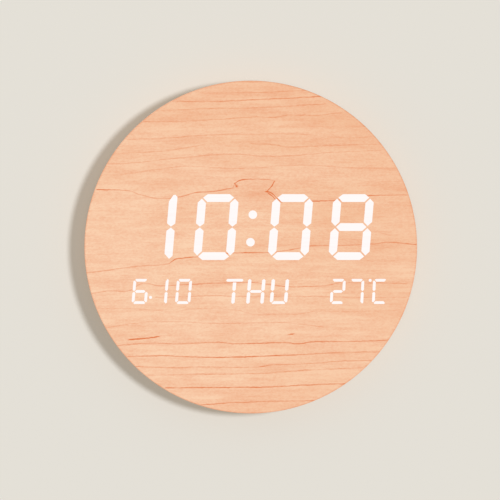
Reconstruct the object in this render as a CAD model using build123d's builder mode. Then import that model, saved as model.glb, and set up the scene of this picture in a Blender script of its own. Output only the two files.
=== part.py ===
from build123d import *
import os
from dataclasses import dataclass, field, replace
from math import cos, hypot, radians, sin, sqrt, tan

# Round wooden wall clock whose lit figures shine through the thin wood veneer of its face.
# Lengths are millimetres. X points right as the clock is read, Y into the wall and Z up.
# The origin is the clock's centre on the wall, so a height above the wall runs along -Y.

# Case
clock_diameter = 300.0
case_depth = 27.0
veneer_thickness = 0.6
veneer_edge_round = 0.3
panel_thickness = 4.0
ring_wall = 9.0
overrun = 1.0

# Back cover and the bumpers that hold it off the wall
cover_thickness = 2.5
cover_lip = 2.5
cover_gap = 0.3
cover_edge_chamfer = 0.4
bumper_height = 3.0
bumper_diameter = 12.0
bumper_edge_round = 0.8
bumper_rim_gap = 12.4
bumper_angle = 30.0

# Screws
screw_diameter = 2.6
screw_head_diameter = 4.6
screw_thread_gap = 0.05
screw_hole_gap = 0.3
screw_recess_length = 2.6
screw_recess_width = 0.7
screw_recess_depth = 1.0
cover_screw_length = 14.0
cover_screw_inset = 2.8
cover_screw_count = 6
board_screw_head_height = 2.0
board_screw_bite = 3.0
pilot_end_gap = 0.4

# Keyhole hanger and the recess behind it
hanger_width = 24.0
hanger_height = 44.0
hanger_thickness = 1.5
hanger_corner = 4.0
hanger_edge_chamfer = 0.3
hanger_rim_gap = 9.4
hanger_screw_pitch = 35.0
hanger_screw_length = 9.0
keyhole_entry_diameter = 9.0
keyhole_slot_width = 4.6
keyhole_drop = 11.0
hanger_recess_width = 14.0
hanger_recess_height = 27.0
hanger_recess_depth = 7.0
hanger_recess_wall = 1.5
hanger_boss_diameter = 7.0
hanger_boss_floor = 1.5

# Light bars of the time figures
time_figure_width = 36.7
time_figure_height = 59.3
time_side_stroke = 7.4
time_level_stroke = 7.0
time_bar_gap = 1.4
time_corner = 7.5
time_level_corner = 8.4
time_waist_gap = 0.8
eight_waist_gap = 2.1

# Light bars of the date and temperature figures
small_figure_width = 13.8
temperature_figure_width = 13.3
small_figure_height = 22.6
small_side_stroke = 2.6
small_level_stroke = 2.5
small_bar_gap = 0.7
small_corner = 2.4
small_waist_gap = 0.6
small_bar_round = 0.35

# Light bars of the weekday letters
letter_width = 15.8
letter_side_stroke = 3.1
letter_level_stroke = 2.5

# Shapes of the bar ends, as shares of a bar's stroke
time_waist_share = 0.4
eight_waist_share = 0.48
small_waist_share = 0.42
tall_shoulder_share = 0.4
one_top_shares = ((1.0, 0.88), (0.51, 0.11), (0.25, 0.08), (0.0, 0.38))
one_bottom_shares = ((1.0, 0.77), (0.39, 0.14), (0.0, 0.5))

# Rows of the figures on the face
figure_slant = 4.9
temperature_slant = 3.0
time_row = 18.0
colon_drop = 1.2
colon_spacing = 24.8
colon_dot_diameter = 7.7
small_row = -40.0
small_dot_diameter = 2.7
date_dot_step = 9.8
date_dot_drop = 5.4
temperature_figure_pitch = 16.8
degree_dot_step = 11.5
degree_dot_rise = 10.0
scale_letter_step = 21.1

# Places along a row, as shares of the row's half length inside the case
time_place_shares = (-0.6641, -0.2395, 0.2750, 0.6947)
colon_place_share = 0.0073
date_place_shares = (-0.9333, -0.7722, -0.6330, -0.4688)
weekday_place_shares = (-0.1176, 0.0360, 0.2006)
scale_letter_share = 0.9023

# Light guides and board
window_margin = 1.5
window_corner = 2.0
diffuser_thickness = 0.3
guide_gap = 0.2
reflector_depth = 9.6
reflector_flange_width = 2.0
reflector_flange_thickness = 2.0
board_thickness = 1.6
board_rim_gap = 1.0
board_edge_margin = 4.0
light_length = 2.0
light_width = 1.25
light_height = 0.8
standoff_diameter = 6.0
standoff_gap = 0.6
standoff_rim_gap = 28.0

# Parts on the back of the board
controller_width = 10.0
controller_height = 1.4
controller_x = 8.0
controller_leads = 11
controller_lead_pitch = 0.8
driver_length = 17.9
driver_width = 7.5
driver_height = 2.3
driver_spread = 45.0
driver_leads = 14
driver_lead_pitch = 1.27
lead_width = 0.4
lead_reach = 1.1
lead_rise_share = 0.5
clock_chip_length = 4.9
clock_chip_width = 3.9
clock_chip_height = 1.5
clock_chip_drop = 22.0
clock_chip_leads = 4
crystal_diameter = 2.0
crystal_length = 6.0
crystal_step = 9.0
crystal_lead_diameter = 0.4
regulator_width = 6.5
regulator_length = 3.5
regulator_height = 1.6
regulator_step = 17.0
regulator_rise = 14.0
capacitor_diameter = 6.3
capacitor_height = 7.7
capacitor_base_height = 1.2
capacitor_step = 18.0
capacitor_pitch = 10.0
capacitor_rise = 15.0
buzzer_diameter = 12.0
buzzer_height = 8.5
buzzer_hole_diameter = 2.2
buzzer_hole_depth = 3.0
buzzer_x = 70.0
buzzer_rise = 10.0
sensor_bead_diameter = 3.2
sensor_bead_length = 4.2
sensor_bead_round = 1.2
sensor_lead_diameter = 0.6
sensor_lead_pitch = 1.8
sensor_reach = 6.0
sensor_drop = 3.0
sensor_inset = 3.0
sensor_bend = 1.0

# Power inlet and the pocket that its plug goes into, between the battery bay and the rim
inlet_place_share = 0.62
inlet_width = 8.9
inlet_height = 3.2
inlet_length = 7.3
inlet_wall = 0.3
inlet_corner = 1.4
inlet_overhang = 0.2
tongue_width = 6.7
tongue_thickness = 0.7
tongue_length = 4.6
pocket_width = 22.0
pocket_length = 32.0
pocket_wall = 1.5
pocket_floor_room = 4.2
pocket_board_gap = 0.4
pocket_corner = 3.0
pocket_mouth_gap = 0.6

# Buttons and their switches
button_rim_gap = 30.35
button_pitch = 18.0
button_diameter = 8.0
button_hole_gap = 0.3
button_flange_width = 1.3
button_flange_thickness = 1.2
button_proud = 0.8
button_edge_round = 0.5
button_stem_diameter = 4.0
switch_width = 6.0
switch_height = 3.5
plunger_diameter = 3.4
plunger_clearance = 0.05
plunger_proud = 1.0
plunger_inside = 1.5
plunger_end_gap = 0.7

# Backup cells, their bay and its door
cell_diameter = 10.5
cell_length = 44.5
cell_nub_diameter = 3.8
cell_nub_height = 0.8
cell_names = ("upper", "middle", "lower")
cell_pitch = 11.2
cell_end_room = 3.0
cell_side_room = 0.4
cell_door_room = 0.6
cell_floor_gap = 0.1
bay_wall = 1.6
bay_floor = 1.5
board_bay_gap = 14.0
door_thickness = 2.2
door_gap = 0.3
door_edge_chamfer = 0.4
door_overlap = 0.9
door_pin_diameter = 1.4
door_pin_length = 1.6
door_pin_clearance = 0.06
door_pin_end_gap = 0.3
door_ridge_count = 3
door_ridge_length = 14.0
door_ridge_width = 1.0
door_ridge_height = 0.5
door_ridge_pitch = 2.4
finger_notch_diameter = 14.0
finger_notch_depth = 1.4
contact_thickness = 0.4
contact_half_height = 3.5
contact_half_span = 4.6
contact_tail_width = 1.4
leaf_half_span = 4.0
leaf_crest_half_span = 0.9
leaf_width = 5.0
leaf_cell_gap = 0.1

# Leads from the cells to the board
lead_wire_diameter = 1.4
lead_hole_gap = 0.3
lead_tail_gap = 0.05
lead_bend_radius = 3.5
lead_inset = 1.5
connector_width = 6.0
connector_length = 5.5
connector_height = 4.5
connector_rise = 1.5
connector_pitch = 2.5

# Vents and sound holes
vent_count = 5
vent_length = 22.0
vent_width = 2.2
vent_pitch = 5.5
vent_drop = 26.0
sound_hole_diameter = 2.0
sound_hole_count = 6
sound_hole_circle_radius = 4.2
opening_edge_chamfer = 0.25

# Heights above the wall
rear_level = bumper_height
cover_inner_level = rear_level + cover_thickness
front_level = rear_level + case_depth
veneer_back_level = front_level - veneer_thickness
panel_back_level = veneer_back_level - panel_thickness
diffuser_back_level = veneer_back_level - diffuser_thickness
board_front_level = diffuser_back_level - reflector_depth
board_back_level = board_front_level - board_thickness

# Radii of the case
clock_radius = clock_diameter / 2
core_radius = clock_radius - veneer_thickness
ring_inner_radius = core_radius - ring_wall
cover_seat_radius = core_radius - cover_lip
cover_radius = cover_seat_radius - cover_gap
cover_screw_radius = ring_inner_radius + cover_screw_inset
board_radius = ring_inner_radius - board_rim_gap
bumper_circle_radius = ring_inner_radius - bumper_rim_gap

screw_radius = screw_diameter / 2
screw_head_radius = screw_head_diameter / 2
screw_head_depth = screw_head_radius - screw_radius
screw_hole_radius = screw_radius + screw_hole_gap
screw_pilot_radius = screw_radius + screw_thread_gap

SEATED = (Align.CENTER, Align.CENTER, Align.MIN)
SUNK = (Align.CENTER, Align.CENTER, Align.MAX)


def at_height(height):
    """Plane at a height above the wall, facing the reader, with X right and Z up."""
    return Plane.XZ.offset(height)


def rear_spot(x, z, height):
    """Plane at one spot, facing the wall."""
    return Plane(origin=(x, -height, z), x_dir=(-1, 0, 0), z_dir=(0, 1, 0))


def half_chord(radius, z):
    """Half length of the level line across a circle about the clock's centre."""
    return sqrt(radius ** 2 - z ** 2)


def finish(part, name):
    """Label a finished piece and write its file."""
    part.label = name
    export_step(part, f"parts/{name}.step")


# Light bars


@dataclass
class BarStyle:
    """Sizes of a figure that is made of light bars."""

    width: float
    height: float
    side: float
    level: float
    gap: float
    corner: float
    level_corner: float
    waist_gap: float
    waist_share: float
    rounding: float
    slant: float


TIME_STYLE = BarStyle(time_figure_width, time_figure_height, time_side_stroke, time_level_stroke,
                      time_bar_gap, time_corner, time_level_corner, time_waist_gap, time_waist_share,
                      0, figure_slant)
EIGHT_STYLE = replace(TIME_STYLE, waist_gap=eight_waist_gap, waist_share=eight_waist_share)
SMALL_STYLE = BarStyle(small_figure_width, small_figure_height, small_side_stroke, small_level_stroke,
                       small_bar_gap, small_corner, small_corner, small_waist_gap, small_waist_share,
                       small_bar_round, figure_slant)
TEMPERATURE_STYLE = replace(SMALL_STYLE, width=temperature_figure_width, slant=temperature_slant)
LETTER_STYLE = replace(SMALL_STYLE, width=letter_width, side=letter_side_stroke, level=letter_level_stroke)

# Each bar is a shape at the upper left or the middle, and its two mirror signs
BARS = {
    "top": ("level", 1, 1),
    "bottom": ("level", 1, -1),
    "middle": ("middle", 1, 1),
    "upper_left": ("side", 1, 1),
    "upper_right": ("side", -1, 1),
    "lower_left": ("side", 1, -1),
    "lower_right": ("side", -1, -1),
    "tall_upper_left": ("tall", 1, 1),
    "tall_upper_right": ("tall", -1, 1),
    "tall_lower_left": ("tall", 1, -1),
    "tall_lower_right": ("tall", -1, -1),
    "inner_top": ("inner_level", 1, 1),
    "inner_bottom": ("inner_level", 1, -1),
    "long_top": ("long_level", 1, 1),
    "upper_stem": ("short_stem", 1, 1),
    "lower_stem": ("tall_stem", 1, -1),
    "one_upper": ("one_upper", -1, 1),
    "one_lower": ("one_lower", -1, -1),
}

# The bars that are lit for each figure shown, and all the bars that its place has
SEVEN = ("top", "upper_right", "lower_right", "bottom", "lower_left", "upper_left", "middle")
ONE = ("one_upper", "one_lower")
TALL_SIDES = ("tall_upper_left", "tall_upper_right", "tall_lower_left", "tall_lower_right")
LIT = {
    "0": ("top", "upper_right", "lower_right", "bottom", "lower_left", "upper_left"),
    "1": ONE,
    "2": ("top", "upper_right", "middle", "lower_left", "bottom"),
    "6": ("top", "lower_right", "bottom", "lower_left", "upper_left", "middle"),
    "7": ("top", "upper_right", "one_lower"),
    "8": SEVEN,
    "C": ("top", "upper_left", "lower_left", "bottom"),
    "T": ("long_top", "upper_stem", "lower_stem"),
    "H": TALL_SIDES + ("middle",),
    "U": ("tall_upper_left", "tall_upper_right", "lower_left", "lower_right", "bottom"),
    " ": (),
}
CELLS = {
    "1": ONE,
    "7": LIT["7"] + ("inner_bottom", "lower_left", "upper_left", "middle"),
    "C": LIT["C"],
    "T": LIT["T"] + ("lower_left", "lower_right"),
    "H": TALL_SIDES + ("middle", "inner_top", "inner_bottom"),
    "U": LIT["U"] + ("middle", "inner_top"),
}


def bar_shape(style, shape):
    """Corner points of a bar at a figure's upper left or middle, about the figure's centre."""
    edge = -style.width / 2
    peak = style.height / 2
    side = style.side
    level = style.level
    step = style.gap / sqrt(2)
    skew = side - level
    slope = 2 * style.waist_share
    spine = edge + side / 2
    waist = style.waist_gap / 2
    hip = waist + style.waist_share * side
    shoulder = tall_shoulder_share * side
    waist_end = [(edge + side, hip), (spine, waist), (edge, hip)]
    stem_end = [(side / 2, hip), (0, waist), (-side / 2, hip)]
    if shape == "side":
        tip = (edge + (style.corner + skew - step) / 2, peak - (style.corner - skew + step) / 2)
        return waist_end + [(edge, peak - style.corner), tip, (edge + side, peak - level - step)]
    if shape == "tall":
        return waist_end + [(edge, peak - shoulder), (spine, peak), (edge + side, peak - shoulder)]
    if shape == "one_upper":
        return waist_end + [(edge + x * side, peak - z * side) for x, z in reversed(one_top_shares)]
    if shape == "one_lower":
        return waist_end + [(edge + x * side, peak - z * side) for x, z in reversed(one_bottom_shares)]
    if shape == "short_stem":
        top = peak - level - style.gap
        return stem_end + [(-side / 2, top), (side / 2, top)]
    if shape == "tall_stem":
        return stem_end + [(-side / 2, peak - shoulder), (0, peak), (side / 2, peak - shoulder)]
    if shape == "middle":
        tip = spine + style.gap * hypot(1, 1 / slope) - waist / slope
        rise = level / 2
        half = [(tip, 0), (tip + rise / slope, rise)]
        return half + [(-half[1][0], rise), (-tip, 0), (-half[1][0], -rise), (half[1][0], -rise)]
    if shape == "inner_level":
        end = edge + side + style.gap
        half = [(end, peak - level), (end, peak - level / 2), (end + level / 2, peak)]
    elif shape == "long_level":
        half = [(edge + level / 2, peak - level), (edge, peak - level / 2), (edge + level / 2, peak)]
    else:
        tip = (edge + (style.corner + skew + step) / 2, peak - (style.corner - skew - step) / 2)
        half = [(edge + side + step, peak - level), tip, (edge + style.level_corner, peak)]
    return half + [(-x, z) for x, z in reversed(half)]


def slanted(x, z, slant):
    """A point of a figure, leaned over with the figure."""
    return x + z * tan(radians(slant)), z


@dataclass
class Figure:
    """One place of the display and the figure that it shows."""

    style: BarStyle
    x: float
    row: float
    shows: str

    def lit(self):
        return LIT[self.shows]

    def cells(self):
        return CELLS.get(self.shows, SEVEN)

    def outline(self, bar):
        shape, turn_x, turn_z = BARS[bar]
        points = [slanted(x * turn_x, z * turn_z, self.style.slant)
                  for x, z in bar_shape(self.style, shape)]
        return [(self.x + x, self.row + z) for x, z in points]


@dataclass
class Dot:
    """One round light of the display, whose place leans over with its row."""

    middle: float
    row: float
    rise: float
    diameter: float

    def spot(self):
        x, z = slanted(0, self.rise, figure_slant)
        return self.middle + x, self.row + z


@dataclass
class Block:
    """One window of the display, with the figures and dots behind it."""

    name: str
    lights_per_bar: int
    figures: list
    dots: list = field(default_factory=list)

    def window(self):
        """Left, right, bottom and top of the window."""
        points = [p for f in self.figures for bar in f.cells() for p in f.outline(bar)]
        for dot in self.dots:
            x, z = dot.spot()
            reach = dot.diameter / 2
            points += [(x - reach, z - reach), (x + reach, z + reach)]
        across = [x for x, z in points]
        upward = [z for x, z in points]
        return (min(across) - window_margin, max(across) + window_margin,
                min(upward) - window_margin, max(upward) + window_margin)


# The display's rows, each between its ends inside the case
time_reach = half_chord(board_radius, time_row + time_figure_height / 2 + window_margin)
small_reach = half_chord(board_radius, small_row - small_figure_height / 2 - window_margin)
time_places = [time_reach * share for share in time_place_shares]
date_places = [small_reach * share for share in date_place_shares]
colon_x = time_reach * colon_place_share
weekday_places = [small_reach * share for share in weekday_place_shares]
scale_letter_x = small_reach * scale_letter_share
temperature_units_x = scale_letter_x - scale_letter_step
temperature_tens_x = temperature_units_x - temperature_figure_pitch
degree_dot_x = temperature_units_x + degree_dot_step
date_dot_x = date_places[1] + date_dot_step
time_block = Block(
    "time", 2, [Figure(EIGHT_STYLE if shown == "8" else TIME_STYLE, x, time_row, shown)
                for x, shown in zip(time_places, "1008")],
    [Dot(colon_x, time_row, side * colon_spacing / 2 - colon_drop, colon_dot_diameter) for side in (-1, 1)])
date_block = Block(
    "date", 1, [Figure(SMALL_STYLE, x, small_row, shown) for x, shown in zip(date_places, " 610")],
    [Dot(date_dot_x, small_row, -date_dot_drop, small_dot_diameter)])
weekday_block = Block(
    "weekday", 1, [Figure(LETTER_STYLE, x, small_row, shown) for x, shown in zip(weekday_places, "THU")])
temperature_block = Block("temperature", 1, [
    Figure(TEMPERATURE_STYLE, temperature_tens_x, small_row, "2"),
    Figure(TEMPERATURE_STYLE, temperature_units_x, small_row, "7"),
    Figure(TEMPERATURE_STYLE, scale_letter_x, small_row, "C"),
], [Dot(degree_dot_x, small_row, degree_dot_rise, small_dot_diameter)])
blocks = [time_block, date_block, weekday_block, temperature_block]


def draw_bars(figure, bars):
    """Add a figure's bars to the open sketch."""
    for bar in bars:
        Polygon(*figure.outline(bar), align=None)


def draw_dots(block):
    """Add a block's dots to the open sketch."""
    for dot in block.dots:
        with Locations(dot.spot()):
            Circle(dot.diameter / 2)


def draw_lit(block, sketch):
    """Add a block's lit bars and dots to the open sketch, with rounded ends on the small bars."""
    for figure in block.figures:
        draw_bars(figure, figure.lit())
    rounding = block.figures[0].style.rounding
    if rounding:
        fillet(sketch.vertices(), rounding)
    draw_dots(block)


def draw_window(block, growth, mode=Mode.ADD):
    """Add a block's window, grown all round, to the open sketch, or cut it there."""
    left, right, bottom, top = block.window()
    with Locations(((left + right) / 2, (bottom + top) / 2)):
        RectangleRounded(right - left + 2 * growth, top - bottom + 2 * growth, window_corner, mode=mode)


os.makedirs("parts", exist_ok=True)

# Places that follow the display
time_bottom, time_top = time_block.window()[2:]
small_bottom = min(block.window()[2] for block in blocks[1:])
small_top = max(block.window()[3] for block in blocks[1:])
upper_screw_row = time_top + reflector_flange_width + standoff_diameter / 2 + standoff_gap
lower_screw_row = (time_bottom + small_top) / 2
board_top = upper_screw_row + board_edge_margin
board_bottom = small_bottom - reflector_flange_width - board_edge_margin
standoff_pitch = half_chord(board_radius, upper_screw_row) - standoff_rim_gap
board_screw_places = [(x, z) for z in (upper_screw_row, lower_screw_row)
                      for x in (-standoff_pitch, 0, standoff_pitch)]

# The bay of the backup cells below the display, and the plug's pocket and the vents on its two sides
cell_row_span = (len(cell_names) - 1) * cell_pitch
bay_length = cell_length + 2 * cell_end_room
bay_height = cell_row_span + cell_diameter + 2 * cell_side_room
bay_top = board_bottom - board_bay_gap
bay_middle = bay_top - bay_wall - bay_height / 2
bay_side = bay_length / 2 + bay_wall
pocket_top = board_bottom - pocket_board_gap - pocket_wall
pocket_middle = pocket_top - pocket_length / 2
pocket_bottom = pocket_top - pocket_length - pocket_wall
rim_side = half_chord(ring_inner_radius, pocket_bottom)
inlet_x = bay_side + (rim_side - bay_side) * inlet_place_share
sensor_x = -inlet_x

# Front veneer, pierced where light shines through it
with BuildPart() as front_veneer:
    with BuildSketch(at_height(veneer_back_level)):
        Circle(clock_radius)
    extrude(amount=veneer_thickness)
    fillet(front_veneer.edges().sort_by(Axis.Y)[0], veneer_edge_round)
    for block in blocks:
        with BuildSketch(at_height(veneer_back_level)) as lit_shapes:
            draw_lit(block, lit_shapes)
        extrude(amount=veneer_thickness, mode=Mode.SUBTRACT)
finish(front_veneer.part, "front_veneer")

# Lit bars and dots, flush with the veneer
for block in blocks:
    with BuildPart() as lit_bars:
        with BuildSketch(at_height(veneer_back_level)) as lit_shapes:
            draw_lit(block, lit_shapes)
        extrude(amount=veneer_thickness)
    finish(lit_bars.part, f"lit_{block.name}")

with BuildPart() as edge_veneer:
    with BuildSketch(at_height(rear_level)):
        Circle(clock_radius)
        Circle(core_radius, mode=Mode.SUBTRACT)
    extrude(amount=veneer_back_level - rear_level)
    fillet(edge_veneer.edges().group_by(Axis.Y)[-1].sort_by(SortBy.LENGTH)[-1], veneer_edge_round)
finish(edge_veneer.part, "edge_veneer")

# Face panel with a window for each block and blind pilots for the board screws
with BuildPart() as face_panel:
    with BuildSketch(at_height(panel_back_level)):
        Circle(core_radius)
        for block in blocks:
            draw_window(block, 0, Mode.SUBTRACT)
    extrude(amount=panel_thickness)
    with Locations(*[rear_spot(x, z, panel_back_level) for x, z in board_screw_places]):
        Hole(screw_pilot_radius, board_screw_bite + pilot_end_gap)
finish(face_panel.part, "face_panel")

# Case ring with a seat for the back cover
cover_screw_places = []
for index in range(cover_screw_count):
    angle = radians(90 + index * 360 / cover_screw_count)
    cover_screw_places.append((cover_screw_radius * cos(angle), cover_screw_radius * sin(angle)))
with BuildPart() as case_ring:
    with BuildSketch(at_height(rear_level)):
        Circle(core_radius)
        Circle(ring_inner_radius, mode=Mode.SUBTRACT)
    extrude(amount=panel_back_level - rear_level)
    with BuildSketch(at_height(rear_level)):
        Circle(cover_seat_radius)
    extrude(amount=cover_thickness, mode=Mode.SUBTRACT)
    with Locations(*[rear_spot(x, z, cover_inner_level) for x, z in cover_screw_places]):
        Hole(screw_pilot_radius, cover_screw_length - cover_thickness + pilot_end_gap)
finish(case_ring.part, "case_ring")

# Light guides
for block in blocks:
    with BuildPart() as diffuser:
        with BuildSketch(at_height(diffuser_back_level)):
            draw_window(block, -guide_gap)
        extrude(amount=diffuser_thickness)
    finish(diffuser.part, f"{block.name}_diffuser")

    with BuildPart() as reflector:
        with BuildSketch(at_height(board_front_level)):
            draw_window(block, -guide_gap)
            Circle(board_radius, mode=Mode.INTERSECT)
        extrude(amount=reflector_depth)
        with BuildSketch(at_height(panel_back_level - reflector_flange_thickness)):
            draw_window(block, reflector_flange_width)
            Circle(board_radius, mode=Mode.INTERSECT)
        extrude(amount=reflector_flange_thickness)
        with BuildSketch(at_height(board_front_level)):
            for figure in block.figures:
                draw_bars(figure, figure.cells())
            draw_dots(block)
        extrude(amount=reflector_depth, mode=Mode.SUBTRACT)
    finish(reflector.part, f"{block.name}_reflector")

# Circuit board, its standoffs and screws
board_middle = (board_top + board_bottom) / 2
with BuildPart() as display_board:
    with BuildSketch(at_height(board_back_level)):
        Circle(board_radius)
        with Locations((0, board_middle)):
            Rectangle(2 * board_radius, board_top - board_bottom, mode=Mode.INTERSECT)
        with Locations(*board_screw_places):
            Circle(screw_hole_radius, mode=Mode.SUBTRACT)
    extrude(amount=board_thickness)
finish(display_board.part, "display_board")

with BuildPart() as board_standoffs:
    with BuildSketch(at_height(board_front_level)):
        with Locations(*board_screw_places):
            Circle(standoff_diameter / 2)
            Circle(screw_hole_radius, mode=Mode.SUBTRACT)
    extrude(amount=panel_back_level - board_front_level)
finish(board_standoffs.part, "board_standoffs")


def cut_screw_recess():
    """Cut a cross recess at each location of the open part."""
    for turn in (0, 90):
        Box(screw_recess_length, screw_recess_width, screw_recess_depth, rotation=(0, 0, turn),
            align=SUNK, mode=Mode.SUBTRACT)


board_screw_length = panel_back_level - board_back_level + board_screw_bite
with BuildPart() as board_screws:
    with Locations(*[rear_spot(x, z, board_back_level) for x, z in board_screw_places]):
        Cylinder(screw_head_radius, board_screw_head_height, align=SEATED)
        Cylinder(screw_radius, board_screw_length, align=SUNK)
    with Locations(*[rear_spot(x, z, board_back_level - board_screw_head_height)
                     for x, z in board_screw_places]):
        cut_screw_recess()
finish(board_screws.part, "board_screws")


def light_places(block):
    """Places of a block's small lamps, with the turn of each."""
    places = []
    for figure in block.figures:
        for bar in figure.cells():
            points = figure.outline(bar)
            across = [x for x, z in points]
            upward = [z for x, z in points]
            middle = ((min(across) + max(across)) / 2, (min(upward) + max(upward)) / 2)
            width = max(across) - min(across)
            height = max(upward) - min(upward)
            upright = height > width
            run = height if upright else width
            for index in range(block.lights_per_bar):
                along = run * ((index + 0.5) / block.lights_per_bar - 0.5)
                x, z = slanted(0, along, figure.style.slant) if upright else (along, 0)
                places.append((middle[0] + x, middle[1] + z, upright))
    return places + [(*dot.spot(), False) for dot in block.dots]


all_lights = [place for block in blocks for place in light_places(block)]
with BuildPart() as segment_lights:
    for upright in (True, False):
        width, length = (light_width, light_length) if upright else (light_length, light_width)
        with BuildSketch(at_height(board_front_level)):
            with Locations(*[(x, z) for x, z, turned in all_lights if turned == upright]):
                Rectangle(width, length)
        extrude(amount=light_height)
finish(segment_lights.part, "segment_lights")


# Parts on the back of the board


def add_chip(length, width, height, lead_count, lead_pitch):
    """Add a chip with a row of leads along each of its long sides at each location of the open part."""
    Box(length, width, height, align=SEATED)
    with GridLocations(lead_pitch, 0, lead_count, 1):
        Box(lead_width, width + 2 * lead_reach, height * lead_rise_share, align=SEATED)


with BuildPart() as controller_chip:
    with Locations(rear_spot(controller_x, time_row, board_back_level)):
        add_chip(controller_width, controller_width, controller_height,
                 controller_leads, controller_lead_pitch)
        with GridLocations(0, controller_lead_pitch, 1, controller_leads):
            Box(controller_width + 2 * lead_reach, lead_width, controller_height * lead_rise_share,
                align=SEATED)
finish(controller_chip.part, "controller_chip")

with BuildPart() as driver_chips:
    with Locations(*[rear_spot(side * driver_spread, time_row, board_back_level) for side in (-1, 1)]):
        add_chip(driver_length, driver_width, driver_height, driver_leads, driver_lead_pitch)
finish(driver_chips.part, "driver_chips")

clock_chip_z = time_row - clock_chip_drop
with BuildPart() as clock_chip:
    with Locations(rear_spot(controller_x, clock_chip_z, board_back_level)):
        add_chip(clock_chip_length, clock_chip_width, clock_chip_height, clock_chip_leads, driver_lead_pitch)
finish(clock_chip.part, "clock_chip")

# Crystal can lying on the board, with its two wires bent down to it
crystal_x = controller_x + crystal_step
crystal_level = board_back_level - crystal_diameter / 2
with BuildPart() as clock_crystal:
    with Locations(Plane(origin=(crystal_x, -crystal_level, clock_chip_z), z_dir=(0, 0, 1))):
        Cylinder(crystal_diameter / 2, crystal_length)
    wire_z = clock_chip_z - crystal_length / 2 - crystal_lead_diameter
    with Locations((crystal_x - crystal_diameter / 4, -crystal_level, wire_z),
                   (crystal_x + crystal_diameter / 4, -crystal_level, wire_z)):
        Box(crystal_lead_diameter, crystal_diameter, 2 * crystal_lead_diameter)
finish(clock_crystal.part, "clock_crystal")

regulator_x = inlet_x - regulator_step
regulator_z = board_bottom + regulator_rise
with BuildPart() as voltage_regulator:
    with Locations(rear_spot(regulator_x, regulator_z, board_back_level)):
        Box(regulator_width, regulator_length, regulator_height, align=SEATED)
        Box(regulator_width / 2, regulator_length + 2 * lead_reach, regulator_height * lead_rise_share,
            align=SEATED)
finish(voltage_regulator.part, "voltage_regulator")

capacitor_places = [(inlet_x + capacitor_step + index * capacitor_pitch, board_bottom + capacitor_rise)
                    for index in (0, 1)]
with BuildPart() as smoothing_capacitors:
    with Locations(*[rear_spot(x, z, board_back_level) for x, z in capacitor_places]):
        Box(capacitor_diameter, capacitor_diameter, capacitor_base_height, align=SEATED)
        Cylinder(capacitor_diameter / 2, capacitor_height, align=SEATED)
finish(smoothing_capacitors.part, "smoothing_capacitors")

buzzer_z = time_row + buzzer_rise
with BuildPart() as alarm_buzzer:
    with Locations(rear_spot(buzzer_x, buzzer_z, board_back_level)):
        Cylinder(buzzer_diameter / 2, buzzer_height, align=SEATED)
    with Locations(rear_spot(buzzer_x, buzzer_z, board_back_level - buzzer_height)):
        Hole(buzzer_hole_diameter / 2, buzzer_hole_depth)
finish(alarm_buzzer.part, "alarm_buzzer")

# Temperature bead on two bent wires, hanging past the board's lower edge
sensor_level = board_back_level - sensor_drop
sensor_z = board_bottom - sensor_reach
with BuildPart() as temperature_sensor:
    for side in (-1, 1):
        wire_x = sensor_x + side * sensor_lead_pitch / 2
        start_z = board_bottom + sensor_inset
        end_z = sensor_z + sensor_bead_length / 2
        with BuildLine() as wire_path:
            FilletPolyline((wire_x, -board_back_level, start_z), (wire_x, -sensor_level, start_z),
                           (wire_x, -sensor_level, end_z), radius=sensor_bend)
        with BuildSketch(rear_spot(wire_x, start_z, board_back_level)):
            Circle(sensor_lead_diameter / 2)
        sweep(path=wire_path.wires()[0])
    with BuildSketch(Plane.XY.offset(sensor_z)):
        with Locations((sensor_x, -sensor_level)):
            Circle(sensor_bead_diameter / 2)
    extrude(amount=sensor_bead_length)
    fillet(temperature_sensor.edges().group_by(Axis.Z)[0], sensor_bead_round)
finish(temperature_sensor.part, "temperature_sensor")

# Power inlet, open downwards
inlet_level = board_back_level - inlet_height / 2
inlet_mouth_z = board_bottom - inlet_overhang
inlet_mouth = Plane(origin=(inlet_x, -inlet_level, inlet_mouth_z), x_dir=(1, 0, 0), z_dir=(0, 0, 1))
with BuildPart() as power_inlet_shell:
    with BuildSketch(inlet_mouth):
        RectangleRounded(inlet_width, inlet_height, inlet_corner)
    extrude(amount=inlet_length)
    with BuildSketch(inlet_mouth):
        RectangleRounded(inlet_width - 2 * inlet_wall, inlet_height - 2 * inlet_wall,
                         inlet_corner - inlet_wall)
    extrude(amount=inlet_length - inlet_wall, mode=Mode.SUBTRACT)
finish(power_inlet_shell.part, "power_inlet_shell")

with BuildPart() as power_inlet_tongue:
    with BuildSketch(inlet_mouth.offset(inlet_length - inlet_wall - tongue_length)):
        Rectangle(tongue_width, tongue_thickness)
    extrude(amount=tongue_length)
finish(power_inlet_tongue.part, "power_inlet_tongue")

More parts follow.
